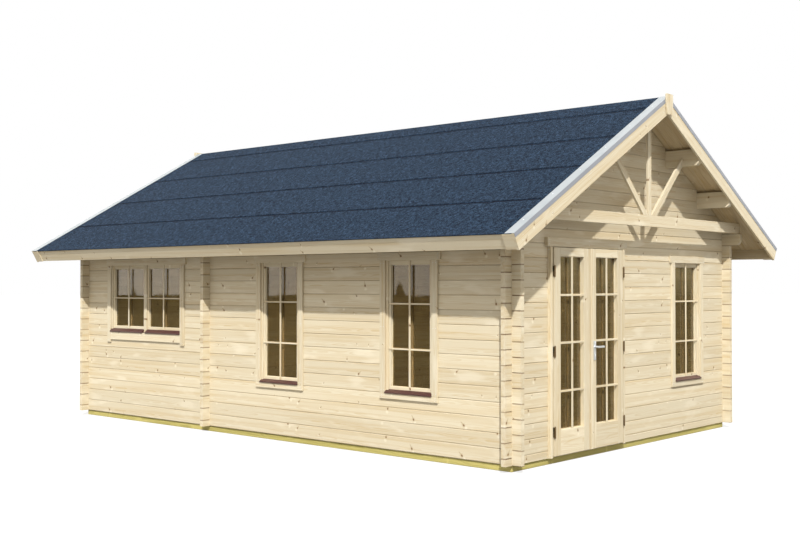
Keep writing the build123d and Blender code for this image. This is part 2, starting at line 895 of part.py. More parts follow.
with BuildPart() as door_casing:
    with BuildSketch(door_plane) as boards:
        casing_inner = door_clear_half + door_casing_reveal
        casing_outer = casing_inner + door_casing_width
        head_half = casing_outer + door_head_overhang
        panel(-head_half, head_half, door_clear_top, door_clear_top + door_head_casing_depth)
        for side in (-1, 1):
            edges = sorted((side * casing_inner, side * casing_outer))
            panel(*edges, 0, door_clear_top - casing_joint)
    extrude(boards.sketch, amount=door_casing_thickness)
finish(door_casing, "door_casing")


# Door leaves with their glass, meeting strip and hinges

handle_leaf = "right"
handle_x = meeting_gap / 2 + (leaf_stile + meeting_strip_width) / 2
lever_height = handle_plate_middle_height + lever_over_plate_middle

for side, word in ((-1, "left"), (1, "right")):
    edges = sorted((side * meeting_gap / 2, side * pair_half_width))
    glass_edges = (edges[0] + leaf_stile, edges[1] - leaf_stile)
    glass_low = leaf_low + leaf_bottom_rail
    glass_high = leaf_high - leaf_top_rail
    with BuildPart() as leaf:
        with BuildSketch(leaf_face) as outline:
            panel(*edges, leaf_low, leaf_high)
            panel(*glass_edges, glass_low, glass_high, mode=Mode.SUBTRACT)
        extrude(outline.sketch, amount=-leaf_thickness)
        for height in hinge_heights:
            leaf_wing(side, height + hinge_split / 2, Mode.SUBTRACT)
        if word == handle_leaf:
            with BuildSketch(leaf_face) as spindle_hole:
                with Locations((handle_x, lever_height)):
                    Rectangle(spindle_hole_width, spindle_hole_width)
            extrude(spindle_hole.sketch, amount=-leaf_thickness, mode=Mode.SUBTRACT)
    finish(leaf, f"{word}_door_leaf")

    with BuildPart() as pane:
        with BuildSketch(leaf_face.offset(-door_glass_setback)) as outline:
            panel(*glass_edges, glass_low, glass_high)
        extrude(outline.sketch, amount=-door_glass_thickness)
    finish(pane, f"{word}_door_glass")

    with BuildPart() as leaf_hinges:
        for height in hinge_heights:
            knuckle_low = height + hinge_split / 2
            hinge_knuckle(side, knuckle_low)
            leaf_wing(side, knuckle_low)
    finish(leaf_hinges, f"{word}_leaf_hinges")

with BuildPart() as frame_hinges:
    for side in (-1, 1):
        for height in hinge_heights:
            knuckle_low = height - hinge_split / 2 - knuckle_height
            hinge_knuckle(side, knuckle_low)
            jamb_wing(side, knuckle_low)
finish(frame_hinges, "frame_hinges")

with BuildPart() as meeting_strip:
    with BuildSketch(leaf_face) as strip:
        panel(meeting_gap / 2, meeting_gap / 2 + meeting_strip_width, leaf_low, leaf_high)
    extrude(strip.sketch, amount=meeting_strip_thickness)
finish(meeting_strip, "meeting_strip")


# Lever handle on both faces of the right leaf, turning on a square spindle through its plates


def leaf_inner_face():
    """Plane on the inner face of the leaves, seen from inside, with X the other way."""
    face = leaf_face.offset(-leaf_thickness)
    return Plane(origin=face.origin, x_dir=-face.x_dir, z_dir=-face.z_dir)


handle_faces = [(leaf_face, handle_x, 1), (leaf_inner_face(), -handle_x, -1)]
with BuildPart() as handle_plates:
    for plane, middle, way in handle_faces:
        with BuildSketch(plane) as outline:
            with Locations((middle, handle_plate_middle_height)):
                RectangleRounded(handle_plate_width, handle_plate_height, handle_plate_width / 4)
            with Locations((middle, lever_height)):
                Rectangle(spindle_hole_width, spindle_hole_width, mode=Mode.SUBTRACT)
        extrude(outline.sketch, amount=handle_plate_thickness)
finish(handle_plates, "handle_plates")

with BuildPart() as lever_handle:
    for plane, middle, way in handle_faces:
        lever_plane = plane.offset(handle_plate_thickness)
        with BuildSketch(lever_plane) as neck:
            with Locations((middle, lever_height)):
                Circle(lever_radius)
        extrude(neck.sketch, amount=lever_stand_off)
        with BuildSketch(lever_plane.offset(lever_stand_off - 2 * lever_radius)) as arm:
            with Locations((middle + way * (lever_length / 2 - lever_radius), lever_height)):
                SlotOverall(lever_length, 2 * lever_radius)
        extrude(arm.sketch, amount=2 * lever_radius)
    with BuildSketch(leaf_face.offset(handle_plate_thickness)) as spindle:
        with Locations((handle_x, lever_height)):
            Rectangle(spindle_width, spindle_width)
    extrude(spindle.sketch, amount=-leaf_thickness - 2 * handle_plate_thickness)
finish(lever_handle, "lever_handle")
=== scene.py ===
"""Looks of the log cabin: its finishes, its joinery board by board, and the stage round it.

Metres, in the same frame as the solids: +Z up, the front gable faces -Y, the origin is on the ground.
"""

import itertools
import math
import random

import bmesh
import bpy
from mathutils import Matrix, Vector


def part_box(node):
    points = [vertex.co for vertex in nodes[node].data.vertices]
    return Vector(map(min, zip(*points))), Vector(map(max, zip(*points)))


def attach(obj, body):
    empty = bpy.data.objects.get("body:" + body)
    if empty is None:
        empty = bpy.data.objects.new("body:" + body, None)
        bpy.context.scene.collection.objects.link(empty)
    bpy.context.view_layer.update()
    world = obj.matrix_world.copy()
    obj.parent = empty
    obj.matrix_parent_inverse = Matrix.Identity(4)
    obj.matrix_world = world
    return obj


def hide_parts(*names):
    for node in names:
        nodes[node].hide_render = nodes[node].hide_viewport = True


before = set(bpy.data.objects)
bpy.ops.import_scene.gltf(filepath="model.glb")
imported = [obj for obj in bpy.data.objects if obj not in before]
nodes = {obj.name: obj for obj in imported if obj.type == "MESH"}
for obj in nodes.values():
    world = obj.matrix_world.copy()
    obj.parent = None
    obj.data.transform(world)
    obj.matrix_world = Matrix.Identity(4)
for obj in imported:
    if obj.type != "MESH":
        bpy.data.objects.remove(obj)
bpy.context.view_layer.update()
scene = bpy.context.scene
dice = random.Random(41)

# Camera that took the photograph, and the sun that its shadows show
CAMERA_PLACE = (-10.0, -8.999, 1.642)
CAMERA_TURN_DEG = (90.92, 0.0, -48.5)
CAMERA_LENS_MM = 50.0
CAMERA_SENSOR_MM = 36.0
SUN_TRAVEL = Vector((0.530, 0.488, -0.693))
SUN_STRENGTH = 4.4
SUN_COLOUR = (1.0, 0.98, 0.945)
SUN_SOFTNESS_DEG = 1.2

# Surround, with the light that each side adds to it, the floor, and a faint panel over each room
SKY_COLOUR = (0.725, 0.692, 0.648, 1.0)
SKY_SIDES = {(-1, 0, 0): 0.24, (1, 0, 0): 0.62, (0, 1, 0): 0.62, (0, -1, 0): -0.15}
FLOOR_RADIUS = 160.0
FLOOR_DROP = 0.002
FLOOR_GLOW = 0.72
FLOOR_TONES = ((0.25, 0.25, 0.25, 1.0), (0.27, 0.27, 0.27, 1.0))
FLOOR_MIRRORED = (0.125, 0.105, 0.055, 1.0)
ROOM_LIGHT_PER_AREA = 1.2
ROOM_PANEL_SHARE = 0.7
ROOM_PANEL_DROP = 0.1

# Tree line that the glass mirrors: bearings in radians, and heights as shares of the distance
TREES_IN_RADIAN = 66.0
TREE_SHIFT = 8.9
TREE_HEIGHT = 0.056
TREE_EDGE = (-0.002, 0.003)
TWIG_SHARE = 0.25
FOOT_BEARINGS = (2.28, 2.41)
FOOT_HEIGHTS = (-0.060, -0.034)
RIGHT_FOOT_RISE = 0.09
SUNNY_HEIGHTS = (-0.030, 0.025)
SUNNY_SHARE = 0.8
LEAF_TONES = ((0.03, 0.026, 0.012, 1.0), (0.66, 0.54, 0.30, 1.0))
SUNNY_LEAVES = (1.40, 1.18, 0.66, 1.0)
MIRRORED_SKY = (2.25, 2.12, 1.95, 1.0)
WHITE = (1.0, 1.0, 1.0, 1.0)

# Logs and roof, read from the solids
WALL_COURSES = 15
ROOF_PITCH = math.radians(29.0)
ROOF_COS, ROOF_SIN = math.cos(ROOF_PITCH), math.sin(ROOF_PITCH)
WALL_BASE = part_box("right_wall")[0].z
WALL_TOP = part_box("right_wall")[1].z
COURSE = (WALL_TOP - WALL_BASE) / WALL_COURSES
LONG_WALL_MIDDLE = sum(corner.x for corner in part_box("right_wall")) / 2
END_WALL_MIDDLE = sum(corner.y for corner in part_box("back_wall")) / 2
CROSS_WALL_MIDDLE = sum(corner.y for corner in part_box("cross_wall_head")) / 2
SIDE_STACK = abs(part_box("left_wall_bands")[0].x)
END_STACK = abs(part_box("back_wall")[1].y)
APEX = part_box("ridge_purlin")[1].z
DECK_THICKNESS = 0.020
WELD_REACH = 0.00002
TOUCH = 0.001

# Wood: knot cells in a metre along and across the grain, knots and rings in metres, and shares of each mark
KNOT_CELLS = (6.5, 9.5)
KNOT_SIZES = (0.0045, 0.0115)
KNOT_LEAN = 0.9
KNOT_OVAL = (1.0, 1.35)
RING_GAP = 0.0085
RING_WANDER = 0.060
RING_SWERVE = 0.018
LATE_SHARE, STREAK_SHARE, FIBRE_SHARE = 0.42, 0.55, 0.10
# The middle share on the next line is for a painted highlight, a pale patch below each knot
PATCH_SHARE, KNOT_HIGHLIGHT_SHARE, AMBER_SHARE = 0.7, 0.95, 0.35
RIM_SHARE, WING_SHARE, CORE_SHARE, HEART_SHARE = 0.42, 0.62, 0.82, 0.45
LOG_KNOTS, TIMBER_KNOTS, JOINERY_KNOTS = 0.17, 0.15, 0.13
TONE_SHADES = (0.93, 1.05)
TIMBER_TONE = 0.62
GRAIN_SHIFT = 60.0
MIRROR_SHIFT = 7.3
LOG_PITH = 0.03
BOARD_PITH = ((-0.02, 0.02), (0.01, 0.06))
WOOD_GLOSS = 0.66
WOOD_SPECULAR = 0.28

# Seam lines in a wall and in the stacks past its corners, dirt in the joint with painted shade, bolder as
# painted shadow in the open stack joints: where they start to fade, their ends, their shade
SEAM_STARTS = (0.0015, 0.0030)
SEAM_ENDS = (0.0060, 0.0080)
SEAM_SHADES = (0.40, 0.90)
STACK_FADE = 0.004

# Colours of the finishes, and sizes in the felt and the verge sheet
SAPWOOD = (0.662, 0.602, 0.460, 1.0)
LATEWOOD = (0.560, 0.448, 0.270, 1.0)
# Lift of the pale patches in the wood, and of the painted highlight below each knot
PALE_AND_HIGHLIGHT_LIFT = (1.10, 1.10, 1.12, 1.0)
KNOT_BROWN = (0.17, 0.085, 0.030, 1.0)
KNOT_HEART = (0.05, 0.02, 0.008, 1.0)
# Seam colour: dirt in the joint and painted shade
SEAM_DIRT_AND_SHADE_BROWN = (0.16, 0.095, 0.045, 1.0)
# Inner glazing bars: darker than the other joinery, as painted shade
INNER_BAR_PAINTED_SHADE_TONES = ((0.36, 0.285, 0.190, 1.0), (0.285, 0.212, 0.128, 1.0))
SOFFIT_TONES = ((0.585, 0.49, 0.325, 1.0), (0.47, 0.35, 0.19, 1.0))
FLOORING_TONES = ((0.55, 0.445, 0.29, 1.0), (0.43, 0.31, 0.17, 1.0))
BEAM_TONES = ((0.49, 0.43, 0.15, 1.0), (0.31, 0.27, 0.075, 1.0))
FELT_TONES = ((0.0004, 0.0030, 0.0092, 1.0), (0.0350, 0.0690, 0.1250, 1.0))
FELT_CLOUD = (0.0095, 0.0205, 0.0385, 1.0)
# Lap line colour: bitumen, with painted shadow under each strip's edge
LAP_BITUMEN_AND_SHADOW = (0.0012, 0.0035, 0.0095, 1.0)
FELT_STRIPS = 4
GRANULES_IN_METRE = 250.0
GRANULE_TINT = 0.14
CLOUD_SHARE = 0.14
LAP_EDGE = (0.018, 0.025)
LAP_RAGGED = 0.002
RIDGE_CLEAR = (0.15, 0.2)
# One paint in two tones, top and face: painted light
SHEET_TOP_AND_FACE_PAINTED_LIGHT = ((0.262, 0.300, 0.332, 1.0), (0.262, 0.284, 0.328, 1.0))
SHEET_DUST = (0.30, 0.30, 0.29, 1.0)
SHEET_FACE_REACH = 0.0008
GLASS_TONES = ((0.40, 0.325, 0.175, 1.0), (0.45, 0.37, 0.205, 1.0))
STAIN_TONES = ((0.036, 0.0110, 0.0105, 1.0), (0.074, 0.0215, 0.0195, 1.0))
STAIN_DUST = (0.16, 0.10, 0.085, 1.0)
HINGE_TONES = ((0.105, 0.070, 0.034, 1.0), (0.200, 0.142, 0.076, 1.0))
SATIN_TONES = ((0.60, 0.64, 0.70, 1.0), (0.78, 0.82, 0.88, 1.0))

# Edges: how far they are eased, and the angles from which they are eased or stay sharp
BOARD_EASE = 0.0018
BOARD_EASE_SHARE = 0.45
BEAM_EASE = 0.003
SOLID_EASE = 0.0025
SOLID_EASE_DEG = 35.0
TURNED_SHARP_DEG = 40.0

# Joinery: widths of upright and level glazing bars
TALL_BARS = (0.022, 0.016)
DOUBLE_BARS = (0.020, 0.014)
DOOR_BARS = (0.024, 0.020)
INNER_BARS = (0.028, 0.024)
INNER_BAR_THICKNESS = 0.010
WINDOW_GRID_SETBACK = 0.005
DOOR_GRID_SETBACK = 0.001
DOOR_GRID_THICKNESS = 0.010
BAR_EASE = 0.003
BEAD_WIDTH = 0.005
BEAD_DEPTH = 0.007
BEAD_EASE = 0.002
TALL_BAR_HEIGHTS = (1.026, 1.457)
DOUBLE_BAR_HEIGHTS = (1.476,)
DOOR_BAR_HEIGHTS = (0.660, 1.103, 1.543)
ROOF_BOARD_WIDTH = 0.096
ROOF_BOARD_EASE = 0.0032
FLOOR_BOARD_WIDTH = 0.115

# Turned fittings as radii and heights, the hinge cap in shares of its barrel's radius
NAIL_HEAD = [(0.0, -0.002), (0.0034, -0.002), (0.0034, 0.0003), (0.0026, 0.0009), (0.0, 0.0011)]
SCREW_HEAD = [
    (0.0, -0.001), (0.0045, -0.001), (0.0045, 0.0006), (0.0036, 0.0017), (0.0018, 0.0023), (0.0, 0.0025),
]
HINGE_CAP = [
    (0.0, -0.001), (1.0, -0.001), (1.0, 0.0005), (0.82, 0.0012), (0.82, 0.0025), (0.92, 0.0040),
    (0.86, 0.0062), (0.60, 0.0085), (0.28, 0.0097), (0.0, 0.0100),
]
LEVER_COLLAR = [
    (0.0103, -0.001), (0.0145, -0.001), (0.0145, 0.0025), (0.0130, 0.0042), (0.0103, 0.0042),
    (0.0103, -0.001),
]
KEY_CYLINDER = [
    (0.0, -0.001), (0.0112, -0.001), (0.0112, 0.0012), (0.0098, 0.0024), (0.0080, 0.0024), (0.0076, 0.0018),
    (0.0, 0.0018),
]
NAIL_INSET = 0.028
NAIL_SHARES = (0.28, 0.72)
LONG_CASING = 1.0
BARGE_NAIL_RUNS = (0.10, 0.72, 0.745, 1.44, 1.465, 2.05, 2.49)
BARGE_NAIL_DROPS = (0.075, 0.118)
VERGE_SCREWS = 6
VERGE_SCREW_INSET = 0.060
PLATE_SCREW_INSET = 0.013
CYLINDER_DROP = 0.072
SLIT_HALF_WIDTH = 0.0009
SLIT_HALF_HEIGHT = 0.004
SLIT_SUNK = 0.001
SLIT_PROUD = 0.0002
SLIT_EASE = 0.0001


# Shader building


def feed(tree, socket, value):
    """Links a socket to another one, or sets it."""
    if isinstance(value, bpy.types.NodeSocket):
        tree.links.new(value, socket)
    else:
        socket.default_value = value


def add_node(tree, kind, inputs=None, **settings):
    """New shader node of a kind, with its settings made, and its inputs set or linked."""
    node = tree.nodes.new("ShaderNode" + kind)
    for key, value in settings.items():
        setattr(node, key, value)
    for key, value in (inputs or {}).items():
        feed(tree, node.inputs[key], value)
    return node


def calc(tree, operation, *terms):
    """Result of one sum on numbers or sockets."""
    return add_node(tree, "Math", dict(enumerate(terms)), operation=operation).outputs[0]


def plus(tree, first, second):
    """Sum of two numbers or sockets."""
    return calc(tree, "ADD", first, second)


def minus(tree, first, second):
    """Difference of two numbers or sockets."""
    return calc(tree, "SUBTRACT", first, second)


def times(tree, first, second):
    """Product of two numbers or sockets."""
    return calc(tree, "MULTIPLY", first, second)


def vector_calc(tree, operation, *terms):
    """Outputs of one sum on vectors."""
    return add_node(tree, "VectorMath", dict(enumerate(terms)), operation=operation).outputs


def stretch(tree, vector, scales):
    """Vector times one scale for each axis."""
    return vector_calc(tree, "MULTIPLY", vector, scales)[0]


def spread(tree, value, low, high, to_low=0.0, to_high=1.0):
    """Value eased from one range into another, and held at its ends."""
    inputs = {"Value": value, "From Min": low, "From Max": high, "To Min": to_low, "To Max": to_high}
    return add_node(tree, "MapRange", inputs, interpolation_type="SMOOTHSTEP").outputs["Result"]


def blend(tree, share, first, second, kind="MIX"):
    """Two colours blended."""
    node = add_node(tree, "Mix", data_type="RGBA", blend_type=kind)
    for place, value in ((0, share), (6, first), (7, second)):
        feed(tree, node.inputs[place], value)
    return node.outputs[2]


def noise(tree, vector, scale=1.0, detail=2.0, roughness=0.5):
    """Noise value of a vector."""
    inputs = {"Vector": vector, "Scale": scale, "Detail": detail, "Roughness": roughness}
    return add_node(tree, "TexNoise", inputs).outputs["Fac"]


def combine(tree, x, y, z):
    """Vector of three values."""
    return add_node(tree, "CombineXYZ", {0: x, 1: y, 2: z}).outputs[0]


def split(tree, vector):
    """Three values of a vector."""
    return list(add_node(tree, "SeparateXYZ", {0: vector}).outputs)


def chances(tree, colour):
    """Three chance values, out of a random colour."""
    return list(add_node(tree, "SeparateColor", {0: colour}).outputs)


def own_place(tree):
    """Place of a point in its own object, in metres."""
    return add_node(tree, "TexCoord").outputs["Object"]


def bump(tree, height, strength, distance):
    """Normal from a height."""
    inputs = {"Height": height, "Strength": strength, "Distance": distance}
    return add_node(tree, "Bump", inputs).outputs["Normal"]


def dress(tree, shader, colour, roughness, normal, **fixed):
    """Links what changes over a surface to its shader, and sets what is the same all over."""
    for key, socket in (("Base Color", colour), ("Roughness", roughness), ("Normal", normal)):
        tree.links.new(socket, shader.inputs[key])
    for key, value in fixed.items():
        shader.inputs[key.replace("_", " ")].default_value = value


def new_group(name, inputs, outputs):
    """Shader node group with named sockets, its tree and its two ends."""
    tree = bpy.data.node_groups.new(name, "ShaderNodeTree")
    kinds = {"vector": "NodeSocketVector", "value": "NodeSocketFloat", "colour": "NodeSocketColor"}
    for in_out, sockets in (("INPUT", inputs), ("OUTPUT", outputs)):
        for label, kind in sockets.items():
            tree.interface.new_socket(name=label, in_out=in_out, socket_type=kinds[kind])
    start = tree.nodes.new("NodeGroupInput").outputs
    end = tree.nodes.new("NodeGroupOutput").inputs
    return tree, start, end


def use_group(tree, group, **inputs):
    """Outputs of a group placed in a tree, with underscores in the names of its inputs read as spaces."""
    node = add_node(tree, "Group", node_tree=group)
    for key, value in inputs.items():
        feed(tree, node.inputs[key.replace("_", " ")], value)
    return node.outputs


def new_material(name):
    """Empty material, its tree and its surface shader."""
    material = bpy.data.materials.new(name)
    material.use_nodes = True
    tree = material.node_tree
    return material, tree, tree.nodes["Principled BSDF"]


# Shared effects


def spruce_grain_group():
    """Solid spruce: growth rings round the pith, streaks, fibres and knots, and a painted highlight below
    each knot.

    Place runs along the grain, across it and into the wood, in metres.
    """
    tree, start, end = new_group(
        "spruce_grain",
        {"Place": "vector", "Tone": "value", "Sapwood": "colour", "Latewood": "colour",
         "Knot": "colour", "Knot share": "value"},
        {"Colour": "colour", "Roughness": "value", "Height": "value"},
    )
    place, sapwood, latewood, knot = (start[key] for key in ("Place", "Sapwood", "Latewood", "Knot"))
    _, across, depth = split(tree, place)

    cells = stretch(tree, place, (*KNOT_CELLS, 0.0))
    knots = add_node(tree, "TexVoronoi", {"Vector": cells, "Scale": 1.0}, voronoi_dimensions="2D")
    rarity, bulk, lean = chances(tree, knots.outputs["Color"])
    there = calc(tree, "LESS_THAN", rarity, start["Knot share"])
    size = spread(tree, bulk, 0.0, 1.0, *KNOT_SIZES)
    offset = vector_calc(tree, "SUBTRACT", cells, knots.outputs["Position"])[0]
    offset = stretch(tree, offset, (1 / KNOT_CELLS[0], 1 / KNOT_CELLS[1], 0.0))
    slant = spread(tree, lean, 0.0, 1.0, -KNOT_LEAN, KNOT_LEAN)
    leaning = add_node(
        tree, "VectorRotate", {"Vector": offset, "Angle": slant}, rotation_type="Z_AXIS"
    ).outputs[0]
    leaning = vector_calc(tree, "DIVIDE", leaning, combine(tree, size, size, 1.0))[0]

    def blot(middle, halves, inner, outer):
        """Mask of an oval by the knot: its middle, half sizes and fade, all in knot sizes."""
        spot = vector_calc(tree, "ADD", leaning, (0.0, -middle, 0.0))[0]
        spot = stretch(tree, spot, (1 / halves[0], 1 / halves[1], 0.0))
        away = vector_calc(tree, "LENGTH", spot)["Value"]
        return times(tree, there, spread(tree, away, inner, outer, 1.0, 0.0))

    core = blot(0.0, KNOT_OVAL, 0.55, 1.0)
    heart = blot(0.0, KNOT_OVAL, 0.15, 0.5)
    rim = blot(0.4, (2.1, 2.4), 0.35, 1.0)
    wing = blot(2.6, (0.75, 2.4), 0.35, 1.0)
    # Painted highlight: a pale patch below each knot
    knot_highlight = blot(-3.2, (2.3, 1.9), 0.3, 1.1)

    wander = noise(tree, stretch(tree, place, (1.3, 6.0, 6.0)), detail=3.0)
    squares = [calc(tree, "POWER", length, 2.0) for length in (across, depth)]
    radius = calc(tree, "SQRT", plus(tree, *squares))
    bent = plus(tree, radius, times(tree, wander, RING_WANDER))
    bent = plus(tree, bent, times(tree, rim, RING_SWERVE))
    ring = calc(tree, "FRACT", calc(tree, "DIVIDE", bent, RING_GAP))
    late = times(tree, spread(tree, ring, 0.35, 0.88), spread(tree, ring, 0.90, 1.0, 1.0, 0.0))

    streaks = noise(tree, stretch(tree, place, (0.55, 26.0, 26.0)), detail=4.0, roughness=0.6)
    fibres = noise(tree, stretch(tree, place, (8.0, 420.0, 420.0)), detail=2.0)
    patches = noise(tree, stretch(tree, place, (2.2, 9.0, 6.0)), detail=2.0)

    dark_share = times(tree, late, LATE_SHARE)
    dark_share = plus(tree, dark_share, spread(tree, streaks, 0.40, 0.68, 0.0, STREAK_SHARE))
    dark_share = plus(tree, dark_share, times(tree, fibres, FIBRE_SHARE))
    wood = blend(tree, dark_share, sapwood, latewood)
    pale_patch = spread(tree, patches, 0.56, 0.72, 0.0, PATCH_SHARE)
    # Pale patches of the wood, and the painted highlight below each knot
    pale = calc(tree, "MAXIMUM", pale_patch, times(tree, knot_highlight, KNOT_HIGHLIGHT_SHARE))
    wood = blend(tree, pale, wood, blend(tree, 1.0, sapwood, PALE_AND_HIGHLIGHT_LIFT, "MULTIPLY"))
    shade = spread(tree, start["Tone"], 0.0, 1.0, *TONE_SHADES)
    wood = blend(tree, 1.0, wood, combine(tree, shade, shade, shade), "MULTIPLY")
    amber = blend(tree, AMBER_SHARE, latewood, knot)
    for mask, share, colour in (
        (rim, RIM_SHARE, amber), (wing, WING_SHARE, amber), (core, CORE_SHARE, knot),
        (heart, HEART_SHARE, KNOT_HEART),
    ):
        wood = blend(tree, times(tree, mask, share), wood, colour)
    tree.links.new(wood, end["Colour"])

    gloss = minus(tree, WOOD_GLOSS, times(tree, core, 0.16))
    tree.links.new(plus(tree, gloss, times(tree, late, 0.06)), end["Roughness"])
    height = plus(tree, times(tree, late, 0.5), times(tree, fibres, 0.5))
    tree.links.new(minus(tree, height, times(tree, core, 0.4)), end["Height"])
    return tree


def log_place_group():
    """Place within its own log of a point on a stack of logs, with the log's tone and the dark seam line of
    dirt and painted shade.
    """
    tree, start, end = new_group(
        "log_place",
        {"Along": "value", "Height": "value", "Depth": "value", "Side": "value",
         "Seam start": "value", "Course": "value", "Openness": "value"},
        {"Place": "vector", "Tone": "value", "Seam": "value"},
    )
    course = start["Course"]
    courses = calc(tree, "DIVIDE", minus(tree, start["Height"], start["Seam start"]), course)
    number = calc(tree, "FLOOR", courses)
    share = minus(tree, courses, number)
    log_key = combine(tree, number, start["Side"], 0.5)
    luck = add_node(tree, "TexWhiteNoise", {"Vector": log_key}, noise_dimensions="3D")
    shift, tone, lift = chances(tree, luck.outputs["Color"])
    across = times(tree, minus(tree, share, 0.5), course)
    pith = spread(tree, lift, 0.0, 1.0, -LOG_PITH, LOG_PITH)
    along = plus(tree, start["Along"], times(tree, shift, GRAIN_SHIFT))
    tree.links.new(combine(tree, along, plus(tree, across, pith), start["Depth"]), end["Place"])
    tree.links.new(tone, end["Tone"])

    edge = times(tree, calc(tree, "MINIMUM", share, minus(tree, 1.0, share)), course)
    uneven = noise(tree, combine(tree, along, number, 0.0), scale=2.6, detail=3.0)
    inner, outer, darkness = (
        spread(tree, start["Openness"], 0.0, 1.0, *ends) for ends in (SEAM_STARTS, SEAM_ENDS, SEAM_SHADES)
    )
    # Dark seam line: dirt in the joint and painted shade, darker as painted shadow where the stack joints are
    # open
    line = times(tree, spread(tree, edge, inner, outer, 1.0, 0.0), darkness)
    tree.links.new(times(tree, line, spread(tree, uneven, 0.30, 0.68, 0.50, 1.0)), end["Seam"])
    return tree


def dust_group():
    """Soft uneven film for made surfaces: a mask that changes over the surface."""
    tree, start, end = new_group("dust_film", {"Place": "vector", "Scale": "value"}, {"Mask": "value"})
    film = noise(tree, start["Place"], start["Scale"], detail=5.0)
    tree.links.new(spread(tree, film, 0.35, 0.75), end["Mask"])
    return tree


SPRUCE_GRAIN = spruce_grain_group()
LOG_PLACE = log_place_group()
DUST_FILM = dust_group()


def finish_wood(tree, shader, place, tone, knot_share, sapwood=SAPWOOD, latewood=LATEWOOD):
    """Joins the grain to a surface shader and gives back its colour."""
    grain = use_group(
        tree, SPRUCE_GRAIN, Place=place, Tone=tone, Sapwood=sapwood, Latewood=latewood, Knot=KNOT_BROWN,
        Knot_share=knot_share,
    )
    relief = bump(tree, grain["Height"], strength=0.25, distance=0.0008)
    dress(tree, shader, grain["Colour"], grain["Roughness"], relief, Specular_IOR_Level=WOOD_SPECULAR)
    return grain["Colour"]


def log_material(name, along_axis, wall_middle, seam_start, stack_start, both_sides=True):
    """Planed logs along one axis, course by course, with a seam line of dirt and painted shade, bolder as
    painted shadow in the open joints of the stacks past the corners.
    """
    material, tree, shader = new_material(name)
    spot = split(tree, own_place(tree))
    along, through = spot[along_axis], spot[1 - along_axis]
    side = calc(tree, "SIGN", through)
    depth = minus(tree, calc(tree, "ABSOLUTE", through) if both_sides else through, wall_middle)
    in_stack = spread(tree, calc(tree, "ABSOLUTE", along), stack_start, stack_start + STACK_FADE)
    logs = use_group(
        tree, LOG_PLACE, Along=along, Height=spot[2], Depth=depth, Side=side, Seam_start=seam_start,
        Course=COURSE, Openness=in_stack,
    )
    colour = finish_wood(tree, shader, logs["Place"], logs["Tone"], LOG_KNOTS)
    # Seam line painted over the wood: dirt and painted shade
    tree.links.new(blend(tree, logs["Seam"], colour, SEAM_DIRT_AND_SHADE_BROWN), shader.inputs["Base Color"])
    return material


def timber_material(name, along, across, depth, mirrored=True):
    """Planed timber whose grain runs along a direction given in X, Y and Z."""
    material, tree, shader = new_material(name)
    spot = own_place(tree)
    x, y, z = split(tree, spot)
    if mirrored:
        spot = combine(tree, calc(tree, "ABSOLUTE", x), y, z)
    lengths = [vector_calc(tree, "DOT_PRODUCT", spot, way)["Value"] for way in (along, across, depth)]
    lengths[0] = plus(tree, lengths[0], times(tree, calc(tree, "SIGN", x), MIRROR_SHIFT))
    finish_wood(tree, shader, combine(tree, *lengths), TIMBER_TONE, TIMBER_KNOTS)
    return material


def board_material(name, sapwood=SAPWOOD, latewood=LATEWOOD, knot_share=JOINERY_KNOTS):
    """Planed boards that carry their own grain place and tone."""
    material, tree, shader = new_material(name)
    place = add_node(tree, "Attribute", attribute_name="grain_place").outputs["Vector"]
    tone = add_node(tree, "Attribute", attribute_name="board_tone").outputs["Fac"]
    finish_wood(tree, shader, place, tone, knot_share, sapwood, latewood)
    return material


def felt_material():
    """Mineral-faced roofing felt: slate-blue granules, and a dark line at each lap, partly bitumen and partly
    painted shadow under the strip's edge.
    """
    material, tree, shader = new_material("mineral_felt")
    spot = own_place(tree)
    x, _, z = split(tree, spot)
    flat = times(tree, calc(tree, "ABSOLUTE", x), ROOF_COS)
    fall = times(tree, minus(tree, APEX, z), ROOF_SIN)
    run = plus(tree, flat, fall)

    granules = add_node(tree, "TexVoronoi", {"Vector": spot, "Scale": GRANULES_IN_METRE})
    tint, bulk, gloss = chances(tree, granules.outputs["Color"])
    clumps = noise(tree, spot, scale=27.0, detail=6.0, roughness=0.82)
    clouds = noise(tree, spot, scale=3.5, detail=3.0)
    mottle = plus(tree, clumps, spread(tree, tint, 0.0, 1.0, -GRANULE_TINT, GRANULE_TINT))
    colour = blend(tree, spread(tree, mottle, 0.43, 0.71), *FELT_TONES)
    colour = blend(tree, spread(tree, clouds, 0.35, 0.7, 0.0, CLOUD_SHARE), colour, FELT_CLOUD)

    felt_low, felt_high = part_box("roof_felt_right")
    eaves_run = felt_high.x * ROOF_COS + (APEX - felt_low.z) * ROOF_SIN
    ridge_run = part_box("ridge_felt")[1].x / ROOF_COS
    exposure = (eaves_run - ridge_run) / FELT_STRIPS
    steps = calc(tree, "DIVIDE", minus(tree, run, ridge_run), exposure)
    past_lap = times(tree, calc(tree, "FRACT", plus(tree, steps, FELT_STRIPS)), exposure)
    waver = spread(tree, noise(tree, spot, scale=40.0), 0.2, 0.8, -LAP_RAGGED, LAP_RAGGED)
    # Dark line at each lap: bitumen with painted shadow under the edge of the strip above
    lap = spread(tree, plus(tree, past_lap, waver), *LAP_EDGE, 1.0, 0.0)
    colour = blend(tree, times(tree, lap, spread(tree, run, *RIDGE_CLEAR)), colour, LAP_BITUMEN_AND_SHADOW)
    relief = bump(tree, plus(tree, bulk, clumps), strength=0.6, distance=0.0016)
    roughness = spread(tree, gloss, 0.0, 1.0, 0.86, 0.98)
    dress(tree, shader, colour, roughness, relief, Specular_IOR_Level=0.08)
    return material


